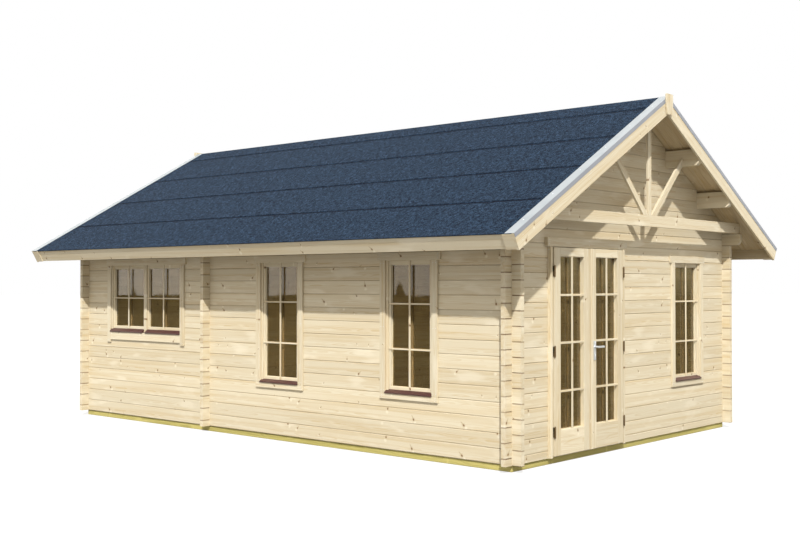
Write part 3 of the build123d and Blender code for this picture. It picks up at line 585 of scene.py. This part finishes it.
def coated_sheet_material():
    """Pale coated sheet of the verge trims, with painted light: one paint, a little less green down the face
    than on top.
    """
    material, tree, shader = new_material("coated_sheet")
    spot = own_place(tree)
    depth = calc(tree, "ABSOLUTE", split(tree, spot)[1])
    face_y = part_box("front_barge_boards")[0].y
    on_face = calc(tree, "GREATER_THAN", depth, abs(face_y) + SHEET_FACE_REACH)
    film = use_group(tree, DUST_FILM, Place=spot, Scale=5.0)["Mask"]
    # Painted light: the face of the same paint is a little less green than the top
    colour = blend(tree, on_face, *SHEET_TOP_AND_FACE_PAINTED_LIGHT)
    colour = blend(tree, times(tree, film, 0.12), colour, SHEET_DUST)
    ripple = noise(tree, stretch(tree, spot, (1.2, 6.0, 1.2)), scale=2.0)
    relief = bump(tree, ripple, strength=0.2, distance=0.002)
    roughness = spread(tree, film, 0.0, 1.0, 0.34, 0.52)
    dress(tree, shader, colour, roughness, relief, Specular_IOR_Level=0.2)
    return material


def glass_material():
    """Dark toned glass with the faint unevenness of float glass."""
    material, tree, shader = new_material("toned_glass")
    spot = own_place(tree)
    film = use_group(tree, DUST_FILM, Place=spot, Scale=7.0)["Mask"]
    wave = noise(tree, spot, scale=1.7, detail=1.0)
    relief = bump(tree, wave, strength=0.06, distance=0.01)
    colour = blend(tree, film, *GLASS_TONES)
    roughness = spread(tree, film, 0.0, 1.0, 0.0, 0.03)
    dress(tree, shader, colour, roughness, relief, Transmission_Weight=0.96, IOR=1.52)
    return material


def stained_sill_material():
    """Red-brown stained drip sills."""
    material, tree, shader = new_material("stained_sill")
    spot = own_place(tree)
    grain = noise(tree, stretch(tree, spot, (60.0, 60.0, 220.0)), detail=3.0)
    film = use_group(tree, DUST_FILM, Place=spot, Scale=14.0)["Mask"]
    colour = blend(tree, times(tree, film, 0.08), blend(tree, grain, *STAIN_TONES), STAIN_DUST)
    relief = bump(tree, grain, strength=0.2, distance=0.0006)
    dress(tree, shader, colour, spread(tree, grain, 0.2, 0.8, 0.30, 0.48), relief)
    return material


def metal_material(name, dark, light, rough_low, rough_high, metallic):
    """Metal fittings with fine brushing and a soft film."""
    material, tree, shader = new_material(name)
    spot = own_place(tree)
    brushing = noise(tree, stretch(tree, spot, (900.0, 900.0, 40.0)), detail=2.0)
    film = use_group(tree, DUST_FILM, Place=spot, Scale=30.0)["Mask"]
    roughness = spread(tree, film, 0.0, 1.0, rough_low, rough_high)
    relief = bump(tree, brushing, strength=0.1, distance=0.0003)
    dress(tree, shader, blend(tree, brushing, dark, light), roughness, relief, Metallic=metallic)
    return material


# Boards and turned fittings as meshes

CORNERS = list(itertools.product((-1, 1), repeat=3))


def closed_mesh(name, points, faces):
    """Mesh with all its faces turned outwards."""
    mesh = bpy.data.meshes.new(name)
    mesh.from_pydata(points, [], faces)
    shape = bmesh.new()
    shape.from_mesh(mesh)
    bmesh.ops.recalc_face_normals(shape, faces=shape.faces)
    shape.to_mesh(mesh)
    shape.free()
    return mesh


def put(name, data):
    """New object in the scene."""
    thing = bpy.data.objects.new(name, data)
    scene.collection.objects.link(thing)
    return thing


def place_piece(name, mesh, material, body, replaced=()):
    """Puts a mesh in the scene as a piece that rides on a body."""
    mesh.materials.append(material)
    piece = put(name, mesh)
    if replaced:
        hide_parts(*replaced)
    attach(piece, body)


def corner_signs(first_axis, *signs):
    """Signs of a corner in the order of the axes, given from one axis round."""
    return tuple(signs[(axis - first_axis) % 3] for axis in range(3))


class Boards:
    """Boards of one piece with eased edges, each with its own grain and tone."""

    def __init__(self):
        self.points = []
        self.faces = []
        self.places = []
        self.tones = []

    def add(self, middle, along, across, sizes, ease=BOARD_EASE):
        """One board: its middle, its directions along and across the grain, and its three sizes."""
        along, across = Vector(along).normalized(), Vector(across).normalized()
        ways = (along, across, along.cross(across))
        halves = [size / 2 for size in sizes]
        ease = min([ease] + [half * BOARD_EASE_SHARE for half in halves])
        drift = dice.uniform(0.0, GRAIN_SHIFT)
        pith = [dice.uniform(*limits) for limits in BOARD_PITH]
        tone = dice.random()
        spots = {}
        for full in range(3):
            for signs in CORNERS:
                local = [signs[k] * (halves[k] - (0.0 if k == full else ease)) for k in range(3)]
                spots[full, signs] = len(self.points)
                reach = sum((way * part for way, part in zip(ways, local)), Vector())
                self.points.append(Vector(middle) + reach)
                self.places.append((local[0] + drift, local[1] + pith[0], local[2] + pith[1]))
                self.tones.append(tone)
        for full in range(3):
            one, two = (full + 1) % 3, (full + 2) % 3
            for sign in (-1, 1):
                loop = ((-1, -1), (1, -1), (1, 1), (-1, 1))
                self.faces.append([spots[full, corner_signs(full, sign, *pair)] for pair in loop])
            for pair in itertools.product((-1, 1), repeat=2):
                ends = [corner_signs(full, sign, *pair) for sign in (-1, 1)]
                strip = ((one, 0), (one, 1), (two, 1), (two, 0))
                self.faces.append([spots[way, ends[end]] for way, end in strip])
        for signs in CORNERS:
            self.faces.append([spots[full, signs] for full in range(3)])

    def add_box(self, low, high, ease=BOARD_EASE):
        """One board that fills a box, with its grain along the longest side."""
        sizes = [high[k] - low[k] for k in range(3)]
        order = sorted(range(3), key=lambda k: -sizes[k])
        ways = [Vector([1.0 if k == axis else 0.0 for k in range(3)]) for axis in order]
        middle = (Vector(low) + Vector(high)) / 2
        self.add(middle, ways[0], ways[1], [sizes[axis] for axis in order], ease)

    def build(self, name, material, body, slot, replaced=()):
        """Mesh object of all the boards, riding on a body."""
        mesh = closed_mesh(name, self.points, self.faces)
        places = mesh.attributes.new("grain_place", "FLOAT_VECTOR", "POINT")
        places.data.foreach_set("vector", [part for place in self.places for part in place])
        tones = mesh.attributes.new("board_tone", "FLOAT", "POINT")
        tones.data.foreach_set("value", self.tones)
        place_piece(name, mesh, material, body, replaced)


class Turnings:
    """Turned fittings of one piece, such as nail heads and hinge caps."""

    def __init__(self):
        self.points = []
        self.faces = []

    def add(self, foot, way, profile, sides):
        """One turned form: radii and heights from its foot, along a direction."""
        way = Vector(way).normalized()
        one = way.orthogonal().normalized()
        two = way.cross(one)
        rings = []
        for radius, height in profile:
            middle = Vector(foot) + way * height
            turns = [2 * math.pi * k / sides for k in range(sides)] if radius else [0.0]
            rings.append(range(len(self.points), len(self.points) + len(turns)))
            self.points += [middle + (one * math.cos(turn) + two * math.sin(turn)) * radius for turn in turns]
        for lower, upper in zip(rings, rings[1:]):
            for k in range(sides):
                loop = [lower[k % len(lower)], lower[(k + 1) % len(lower)],
                        upper[(k + 1) % len(upper)], upper[k % len(upper)]]
                self.faces.append(list(dict.fromkeys(loop)))

    def build(self, name, material, body, slot):
        """Mesh object of all the turned forms, riding on a body."""
        mesh = closed_mesh(name, self.points, self.faces)
        mesh.shade_smooth()
        mesh.set_sharp_from_angle(angle=math.radians(TURNED_SHARP_DEG))
        place_piece(name, mesh, material, body)


def box_round(points):
    """Lowest and highest corners of a box round points."""
    return tuple(Vector([limit(point[k] for point in points) for k in range(3)]) for limit in (min, max))


def solid_boxes(node):
    """Lowest and highest corners of each separate solid in a node, sorted."""
    shape = bmesh.new()
    shape.from_mesh(nodes[node].data)
    bmesh.ops.remove_doubles(shape, verts=shape.verts, dist=WELD_REACH)
    left = set(shape.verts)
    boxes = []
    while left:
        reached = [left.pop()]
        for vertex in reached:
            for edge in vertex.link_edges:
                other = edge.other_vert(vertex)
                if other in left:
                    left.remove(other)
                    reached.append(other)
        boxes.append(box_round([vertex.co for vertex in reached]))
    shape.free()
    return sorted(boxes, key=lambda box: tuple(round(value, 4) for value in box[0]))


def holds(outer, inner):
    """Whether one box holds the middle of another."""
    middle = (inner[0] + inner[1]) / 2
    return all(outer[0][k] <= middle[k] <= outer[1][k] for k in range(3))


def meets(sill, sash, width_axis):
    """Whether a drip sill lies against the foot of a sash."""
    middle = (sill[0][width_axis] + sill[1][width_axis]) / 2
    against = abs(sill[1][1 - width_axis] - sash[0][1 - width_axis]) < TOUCH
    return against and sash[0][width_axis] < middle < sash[1][width_axis]


def between(low, high, axis, start, stop):
    """Box with its limits on one axis changed."""
    low, high = low.copy(), high.copy()
    low[axis], high[axis] = start, stop
    return low, high


def add_ring(boards, outer, inner, width_axis):
    """Two stiles and two rails between an outer box and the opening in it."""
    low, high = outer
    boards.add_box(*between(low, high, width_axis, low[width_axis], inner[0][width_axis]))
    boards.add_box(*between(low, high, width_axis, inner[1][width_axis], high[width_axis]))
    rail_low, rail_high = between(low, high, width_axis, inner[0][width_axis], inner[1][width_axis])
    boards.add_box(*between(rail_low, rail_high, 2, low.z, inner[0].z))
    boards.add_box(*between(rail_low, rail_high, 2, inner[1].z, high.z))


def add_grid(boards, opening, width_axis, heights, widths, near, far):
    """Glazing bars across an opening: one upright in its middle, and level bars at given heights."""
    low, high = between(*opening, 1 - width_axis, near, far)
    middle = (low[width_axis] + high[width_axis]) / 2
    upright, level = widths
    left, right = middle - upright / 2, middle + upright / 2
    boards.add_box(*between(low, high, width_axis, left, right), ease=BAR_EASE)
    for height in heights:
        for first, last in ((low[width_axis], left), (right, high[width_axis])):
            cell = between(low, high, width_axis, first, last)
            boards.add_box(*between(*cell, 2, height - level / 2, height + level / 2), ease=BAR_EASE)


def add_beads(boards, pane, width_axis, depth):
    """Glazing beads round a pane, on both its faces."""
    depth_axis = 1 - width_axis
    outside, inside = pane[0][depth_axis], pane[1][depth_axis]
    for near, far in ((outside - BEAD_DEPTH, outside), (inside, inside + depth)):
        low, high = between(*pane, depth_axis, near, far)
        for edge, way in ((pane[0], 1), (pane[1], -1)):
            strip = sorted((edge[width_axis], edge[width_axis] + way * BEAD_WIDTH))
            boards.add_box(*between(low, high, width_axis, *strip), ease=BEAD_EASE)
            strip = sorted((edge.z, edge.z + way * BEAD_WIDTH))
            boards.add_box(*between(low, high, 2, *strip), ease=BEAD_EASE)


# Finishes

LONG_LOGS = log_material("long_wall_logs", 1, LONG_WALL_MIDDLE, WALL_BASE, END_STACK)
END_LOGS = log_material("gable_wall_logs", 0, END_WALL_MIDDLE, WALL_BASE + COURSE / 2, SIDE_STACK)
CROSS_LOGS = log_material(
    "cross_wall_logs", 0, CROSS_WALL_MIDDLE, WALL_BASE + COURSE / 2, SIDE_STACK, both_sides=False
)
JOINERY = board_material("planed_joinery")
# Inner bars darker than the outer joinery: painted shade
SHADED_INNER_JOINERY = board_material("painted_shade_inner_bars", *INNER_BAR_PAINTED_SHADE_TONES, knot_share=0.0)
SOFFIT = board_material("roof_boarding", *SOFFIT_TONES, knot_share=0.17)
FLOORING = board_material("floor_boarding", *FLOORING_TONES, knot_share=0.15)
BEAMS = board_material("impregnated_timber", *BEAM_TONES, knot_share=0.08)
ALONG_EAVES = timber_material("timber_along_roof", (0, 1, 0), (0, 0, 1), (1, 0, 0))
ACROSS = timber_material("timber_across", (1, 0, 0), (0, 0, 1), (0, 1, 0), mirrored=False)
UPRIGHT = timber_material("upright_timber", (0, 0, 1), (1, 0, 0), (0, 1, 0), mirrored=False)
DOWN_SLOPE = timber_material(
    "barge_timber", (ROOF_COS, 0, -ROOF_SIN), (ROOF_SIN, 0, ROOF_COS), (0, 1, 0)
)
strut_low, strut_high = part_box("struts")
STRUT_LEAN = math.atan2(strut_high.z - strut_low.z, strut_high.x)
UP_STRUT = timber_material(
    "strut_timber",
    (math.cos(STRUT_LEAN), 0, math.sin(STRUT_LEAN)),
    (-math.sin(STRUT_LEAN), 0, math.cos(STRUT_LEAN)),
    (0, 1, 0),
)
FELT = felt_material()
SHEET = coated_sheet_material()
GLASS = glass_material()
STAIN = stained_sill_material()
HINGE_STEEL = metal_material(
    "bronzed_hinge_steel", *HINGE_TONES, rough_low=0.36, rough_high=0.52, metallic=0.7
)
SATIN_STEEL = metal_material("satin_steel", *SATIN_TONES, rough_low=0.30, rough_high=0.42, metallic=0.6)

NODE_FINISHES = {
    LONG_LOGS: ["left_wall_bands", "left_wall_piers", "left_wall_window_panel", "right_wall", "wall_plates"],
    END_LOGS: ["front_wall_left_pier", "front_wall_right_bands", "front_wall_right_piers", "front_gable",
               "back_wall", "back_gable"],
    CROSS_LOGS: ["cross_wall_sides", "cross_wall_head"],
    ALONG_EAVES: ["ridge_purlin", "purlins", "eaves_fascias"],
    ACROSS: ["tie_beam", "door_head_and_threshold"],
    UPRIGHT: ["king_post", "peak_covers", "door_jambs", "meeting_strip"],
    DOWN_SLOPE: ["front_barge_boards", "back_barge_boards"],
    UP_STRUT: ["struts"],
    FELT: ["roof_felt_left", "roof_felt_right", "ridge_felt"],
    SHEET: ["front_verge_trims", "back_verge_trims"],
    GLASS: ["window_glass", "left_door_glass", "right_door_glass"],
    STAIN: ["window_sills"],
    HINGE_STEEL: ["left_leaf_hinges", "right_leaf_hinges", "frame_hinges"],
    SATIN_STEEL: ["handle_plates", "lever_handle"],
}
for name in NODE_FINISHES[GLASS]:
    nodes[name].visible_shadow = False
for finish, names in NODE_FINISHES.items():
    for name in names:
        nodes[name].data.materials.clear()
        nodes[name].data.materials.append(finish)


EASED_NODES = (
    "purlins", "ridge_purlin", "eaves_fascias", "front_barge_boards", "back_barge_boards", "peak_covers",
    "tie_beam", "king_post", "struts", "meeting_strip", "window_sills", "handle_plates", "lever_handle",
)


def ease_edges():
    """Softened edges on solids that keep their own shape."""
    for name in EASED_NODES:
        weld = nodes[name].modifiers.new("weld", "WELD")
        weld.merge_threshold = WELD_REACH
        bevel = nodes[name].modifiers.new("eased_edges", "BEVEL")
        bevel.width = SOLID_EASE
        bevel.segments = 2
        bevel.limit_method = "ANGLE"
        bevel.angle_limit = math.radians(SOLID_EASE_DEG)


# Pieces made board by board


def make_foundation():
    """Impregnated beams under the walls."""
    for node in ("foundation_side_beams", "foundation_cross_beams"):
        beams = Boards()
        for box in solid_boxes(node):
            beams.add_box(*box, ease=BEAM_EASE)
        beams.build(node + "_timber", BEAMS, "cabin", "impregnated_beams", (node,))


def make_floor():
    """Floor boards along the cabin in both rooms."""
    floor = Boards()
    for low, high in solid_boxes("floor_boards"):
        count = round((high.x - low.x) / FLOOR_BOARD_WIDTH)
        width = (high.x - low.x) / count
        for k in range(count):
            floor.add_box(*between(low, high, 0, low.x + k * width, low.x + (k + 1) * width))
    floor.build("floor_boarding", FLOORING, "cabin", "floor_boards", ("floor_boards",))


def make_roof_boarding():
    """Roof boards that run down each slope, with a V joint between them."""
    for side, word in ((-1, "left"), (1, "right")):
        low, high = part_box(f"roof_deck_{word}")
        edge = max(abs(low.x), abs(high.x)) - DECK_THICKNESS * ROOF_SIN
        length = edge / ROOF_COS
        count = round((high.y - low.y) / ROOF_BOARD_WIDTH)
        width = (high.y - low.y) / count
        along = Vector((side * ROOF_COS, 0.0, -ROOF_SIN))
        square = Vector((side * ROOF_SIN, 0.0, ROOF_COS))
        boarding = Boards()
        for k in range(count):
            top = Vector((0.0, low.y + (k + 0.5) * width, APEX))
            middle = top + along * length / 2 + square * DECK_THICKNESS / 2
            boarding.add(middle, along, (0, 1, 0), (length, width, DECK_THICKNESS), ROOF_BOARD_EASE)
        boarding.build(f"roof_boarding_{word}", SOFFIT, "cabin", "roof_boards", (f"roof_deck_{word}",))


def make_windows():
    """Casing boards, frames and sashes with their glazing bars."""
    panes = solid_boxes("window_glass")
    sashes = solid_boxes("window_sashes")
    sills = solid_boxes("window_sills")
    casings, frames, leaves, inner_bars = Boards(), Boards(), Boards(), Boards()
    for box in solid_boxes("window_casings"):
        casings.add_box(*box)
    for outer in solid_boxes("window_frames"):
        width_axis = 0 if outer[1].x - outer[0].x > outer[1].y - outer[0].y else 1
        inside = [sash for sash in sashes if holds(outer, sash)]
        opening = box_round([corner for sash in inside for corner in sash])
        add_ring(frames, outer, opening, width_axis)
        paired = len(inside) == 2
        if paired:
            mullion = (inside[0][1][width_axis], inside[1][0][width_axis])
            post = between(*outer, width_axis, *mullion)
            frames.add_box(*between(*post, 2, opening[0].z, opening[1].z))
        heights, widths = (DOUBLE_BAR_HEIGHTS, DOUBLE_BARS) if paired else (TALL_BAR_HEIGHTS, TALL_BARS)
        depth_axis = 1 - width_axis
        for sash in inside:
            pane = next(box for box in panes if holds(sash, box))
            add_ring(leaves, sash, pane, width_axis)
            sill_top = next(sill[1].z for sill in sills if meets(sill, sash, width_axis))
            grid = between(*sash, 2, sill_top, sash[1].z)
            near = outer[0][depth_axis] + WINDOW_GRID_SETBACK
            add_grid(leaves, grid, width_axis, heights, widths, near, sash[0][depth_axis])
            back = pane[1][depth_axis]
            add_grid(inner_bars, pane, width_axis, heights, INNER_BARS, back, back + INNER_BAR_THICKNESS)
            add_beads(leaves, pane, width_axis, sash[1][depth_axis] - back)
    casings.build("window_casing_boards", JOINERY, "cabin", "planed_spruce", ("window_casings",))
    frames.build("window_frame_boards", JOINERY, "cabin", "planed_spruce", ("window_frames",))
    leaves.build("window_sash_boards", JOINERY, "cabin", "planed_spruce", ("window_sashes",))
    inner_bars.build("window_inner_bars", SHADED_INNER_JOINERY, "cabin", "planed_spruce")


def make_doors():
    """Casing and two leaves with stiles, rails and glazing bars."""
    casing = Boards()
    for box in solid_boxes("door_casing"):
        casing.add_box(*box)
    casing.build("door_casing_boards", JOINERY, "cabin", "planed_spruce", ("door_casing",))
    for word in ("left", "right"):
        leaf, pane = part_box(f"{word}_door_leaf"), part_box(f"{word}_door_glass")
        boards, inner_bars = Boards(), Boards()
        add_ring(boards, leaf, pane, 0)
        near = leaf[0].y + DOOR_GRID_SETBACK
        add_grid(boards, pane, 0, DOOR_BAR_HEIGHTS, DOOR_BARS, near, near + DOOR_GRID_THICKNESS)
        back = pane[1].y
        add_grid(inner_bars, pane, 0, DOOR_BAR_HEIGHTS, INNER_BARS, back, back + INNER_BAR_THICKNESS)
        add_beads(boards, pane, 0, leaf[1].y - pane[1].y)
        boards.build(f"{word}_leaf_boards", JOINERY, f"{word}_door", "planed_spruce", (f"{word}_door_leaf",))
        inner_bars.build(f"{word}_door_inner_bars", SHADED_INNER_JOINERY, f"{word}_door", "planed_spruce")


def make_nails():
    """Nail heads in the casing boards and barge boards, and screws in the verge trims."""
    nails = Turnings()
    for low, high in solid_boxes("window_casings") + solid_boxes("door_casing"):
        sizes = high - low
        depth_axis = 0 if sizes.x < sizes.y else 1
        long_axis = max((1 - depth_axis, 2), key=lambda axis: sizes[axis])
        cross_axis = 3 - depth_axis - long_axis
        out = Vector([-1.0 if axis == depth_axis else 0.0 for axis in range(3)])
        nail_ends = (low[long_axis] + NAIL_INSET, high[long_axis] - NAIL_INSET)
        for end in nail_ends + ((sum(nail_ends) / 2,) if sizes[long_axis] > LONG_CASING else ()):
            for share in NAIL_SHARES:
                spot = low.copy()
                spot[long_axis] = end
                spot[cross_axis] += share * sizes[cross_axis]
                nails.add(spot, out, NAIL_HEAD, sides=10)
    fall = math.tan(ROOF_PITCH)
    screws = Turnings()
    for way, word in ((-1, "front"), (1, "back")):
        low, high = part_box(f"{word}_barge_boards")
        face = low.y if way < 0 else high.y
        for side in (-1, 1):
            for run in BARGE_NAIL_RUNS:
                for drop in BARGE_NAIL_DROPS:
                    spot = (side * run, face, high.z - run * fall - drop)
                    nails.add(spot, (0, way, 0), NAIL_HEAD, sides=10)

        low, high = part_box(f"{word}_verge_trims")
        row = (low.y if way < 0 else high.y) - way * VERGE_SCREW_INSET
        for side in (-1, 1):
            for k in range(VERGE_SCREWS):
                run = high.x * (k + 0.5) / VERGE_SCREWS
                out = (side * ROOF_SIN, 0, ROOF_COS)
                screws.add((side * run, row, high.z - run * fall), out, SCREW_HEAD, sides=12)
    nails.build("nail_heads", SATIN_STEEL, "cabin", "handle_metal")
    screws.build("verge_screws", SATIN_STEEL, "cabin", "handle_metal")


def make_fittings():
    """Caps on the hinge barrels, and the screws, collars and key cylinders on the handle plates."""
    for node, body, way in (
        ("left_leaf_hinges", "left_door", 1),
        ("right_leaf_hinges", "right_door", 1),
        ("frame_hinges", "cabin", -1),
    ):
        caps = Turnings()
        for low, high in solid_boxes(node):
            radius = (high.x - low.x) / 2
            foot = (low.x + radius, low.y + radius, high.z if way > 0 else low.z)
            caps.add(foot, (0, 0, way), [(radius * wide, tall) for wide, tall in HINGE_CAP], sides=20)
        caps.build(f"{node}_caps", HINGE_STEEL, body, "hinge_metal")

    lever_low, lever_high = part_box("lever_handle")
    lever_height = (lever_low.z + lever_high.z) / 2
    fittings, shaded_slits = Turnings(), Boards()
    plates = sorted(solid_boxes("handle_plates"), key=lambda box: box[0].y)
    for number, (low, high) in enumerate(plates):
        way = -1 if number == 0 else 1
        face = low.y if way < 0 else high.y
        middle = (low.x + high.x) / 2
        for height in (low.z + PLATE_SCREW_INSET, high.z - PLATE_SCREW_INSET):
            fittings.add((middle, face, height), (0, way, 0), SCREW_HEAD, sides=14)
        fittings.add((middle, face, lever_height), (0, way, 0), LEVER_COLLAR, sides=28)
        lock = lever_height - CYLINDER_DROP
        fittings.add((middle, face, lock), (0, way, 0), KEY_CYLINDER, sides=24)
        # Key slit: a dark box on the cylinder's face, painted shade standing in for the keyhole
        slit_face = face + way * KEY_CYLINDER[-1][1]
        near, far = sorted((slit_face - way * SLIT_SUNK, slit_face + way * SLIT_PROUD))
        shaded_slits.add_box(
            (middle - SLIT_HALF_WIDTH, near, lock - SLIT_HALF_HEIGHT),
            (middle + SLIT_HALF_WIDTH, far, lock + SLIT_HALF_HEIGHT),
            SLIT_EASE,
        )
    fittings.build("handle_fittings", SATIN_STEEL, "right_door", "handle_metal")
    shaded_slits.build("key_slits_painted_shade", HINGE_STEEL, "right_door", "hinge_metal")


ease_edges()
make_foundation()
make_floor()
make_roof_boarding()
make_windows()
make_doors()
make_nails()
make_fittings()


# Stage


def make_floor_stage():
    """Plain pale floor, a flat disc that stays pale to the eye and gives little light back."""
    mesh = bpy.data.meshes.new("pale_floor")
    shape = bmesh.new()
    bmesh.ops.create_circle(shape, cap_ends=True, segments=96, radius=FLOOR_RADIUS)
    shape.to_mesh(mesh)
    shape.free()
    material, tree, shader = new_material("pale_floor")
    path = add_node(tree, "LightPath").outputs
    pale = blend(tree, noise(tree, own_place(tree), scale=0.4), *FLOOR_TONES)
    colour = blend(tree, path["Is Glossy Ray"], pale, FLOOR_MIRRORED)
    glow = times(tree, path["Is Camera Ray"], FLOOR_GLOW)
    tree.links.new(colour, shader.inputs["Base Color"])
    tree.links.new(glow, shader.inputs["Emission Strength"])
    shader.inputs["Roughness"].default_value = 1.0
    shader.inputs["Specular IOR Level"].default_value = 0.0
    shader.inputs["Emission Color"].default_value = WHITE
    mesh.materials.append(material)
    floor = put("pale_floor", mesh)
    floor.location.z = -FLOOR_DROP


def make_sun():
    """One soft sun."""
    lamp = bpy.data.lights.new("sun", "SUN")
    lamp.energy = SUN_STRENGTH
    lamp.angle = math.radians(SUN_SOFTNESS_DEG)
    lamp.color = SUN_COLOUR
    put("sun", lamp).rotation_euler = SUN_TRAVEL.to_track_quat("-Z", "Y").to_euler()


def mirrored_view(tree, way):
    """Sky over a low tree line, for what mirrors the surround."""
    x, y, z = split(tree, way)
    bearing = calc(tree, "ARCTAN2", y, x)
    along = plus(tree, times(tree, bearing, TREES_IN_RADIAN), TREE_SHIFT)
    trees = add_node(tree, "TexVoronoi", {"W": along, "Scale": 1.0}, voronoi_dimensions="1D")
    tallness = chances(tree, trees.outputs["Color"])[0]
    taper = spread(tree, trees.outputs["Distance"], 0.0, 0.55, 1.0, 0.0)
    twigs = noise(tree, way, scale=300.0, detail=3.0)
    crown = plus(tree, times(tree, taper, tallness), times(tree, twigs, TWIG_SHARE))
    to_right = calc(tree, "GREATER_THAN", x, 0.0)
    foot = spread(tree, bearing, *FOOT_BEARINGS, *FOOT_HEIGHTS)
    foot = plus(tree, foot, times(tree, to_right, RIGHT_FOOT_RISE))
    tops = plus(tree, foot, times(tree, crown, TREE_HEIGHT))
    above = spread(tree, minus(tree, z, tops), *TREE_EDGE)
    leaves = spread(tree, noise(tree, way, scale=85.0, detail=6.0, roughness=0.8), 0.44, 0.68)
    sunny = times(tree, to_right, spread(tree, z, *SUNNY_HEIGHTS))
    foliage = blend(tree, times(tree, sunny, SUNNY_SHARE), blend(tree, leaves, *LEAF_TONES), SUNNY_LEAVES)
    return blend(tree, above, foliage, MIRRORED_SKY)


def make_surround():
    """Plain pale surround, white to the eye, which mirrors as a low tree line in the glass."""
    world = bpy.data.worlds.new("pale_surround")
    scene.world = world
    world.use_nodes = True
    tree = world.node_tree
    path = add_node(tree, "LightPath").outputs
    way = add_node(tree, "TexCoord").outputs["Generated"]
    level = 1.0
    for side, share in SKY_SIDES.items():
        facing = vector_calc(tree, "DOT_PRODUCT", way, side)["Value"]
        level = plus(tree, times(tree, calc(tree, "MAXIMUM", facing, 0.0), share), level)
    soft_sky = blend(tree, 1.0, SKY_COLOUR, combine(tree, level, level, level), "MULTIPLY")
    colour = blend(tree, path["Is Glossy Ray"], soft_sky, mirrored_view(tree, way))
    colour = blend(tree, path["Is Camera Ray"], colour, WHITE)
    tree.links.new(colour, tree.nodes["Background"].inputs["Color"])


def make_room_lights():
    """Faint light panel under the ceiling of each room, not seen itself."""
    for number, (low, high) in enumerate(solid_boxes("floor_boards")):
        width, length = high.x - low.x, high.y - low.y
        panel = bpy.data.lights.new(f"room_light_{number}", "AREA")
        panel.shape = "RECTANGLE"
        panel.size, panel.size_y = width * ROOM_PANEL_SHARE, length * ROOM_PANEL_SHARE
        panel.energy = ROOM_LIGHT_PER_AREA * width * length
        lamp = put(f"room_light_{number}", panel)
        lamp.location = ((low.x + high.x) / 2, (low.y + high.y) / 2, WALL_TOP - ROOM_PANEL_DROP)
        lamp.visible_camera = False
        lamp.visible_glossy = False
        lamp.visible_transmission = False


def make_camera():
    """Camera at the photograph's place and angle."""
    lens = bpy.data.cameras.new("photo_camera")
    lens.lens = CAMERA_LENS_MM
    lens.sensor_width = CAMERA_SENSOR_MM
    camera = put("photo_camera", lens)
    camera.location = CAMERA_PLACE
    camera.rotation_euler = [math.radians(turn) for turn in CAMERA_TURN_DEG]
    scene.camera = camera


make_floor_stage()
make_sun()
make_surround()
make_room_lights()
make_camera()
scene.view_settings.view_transform = "Standard"
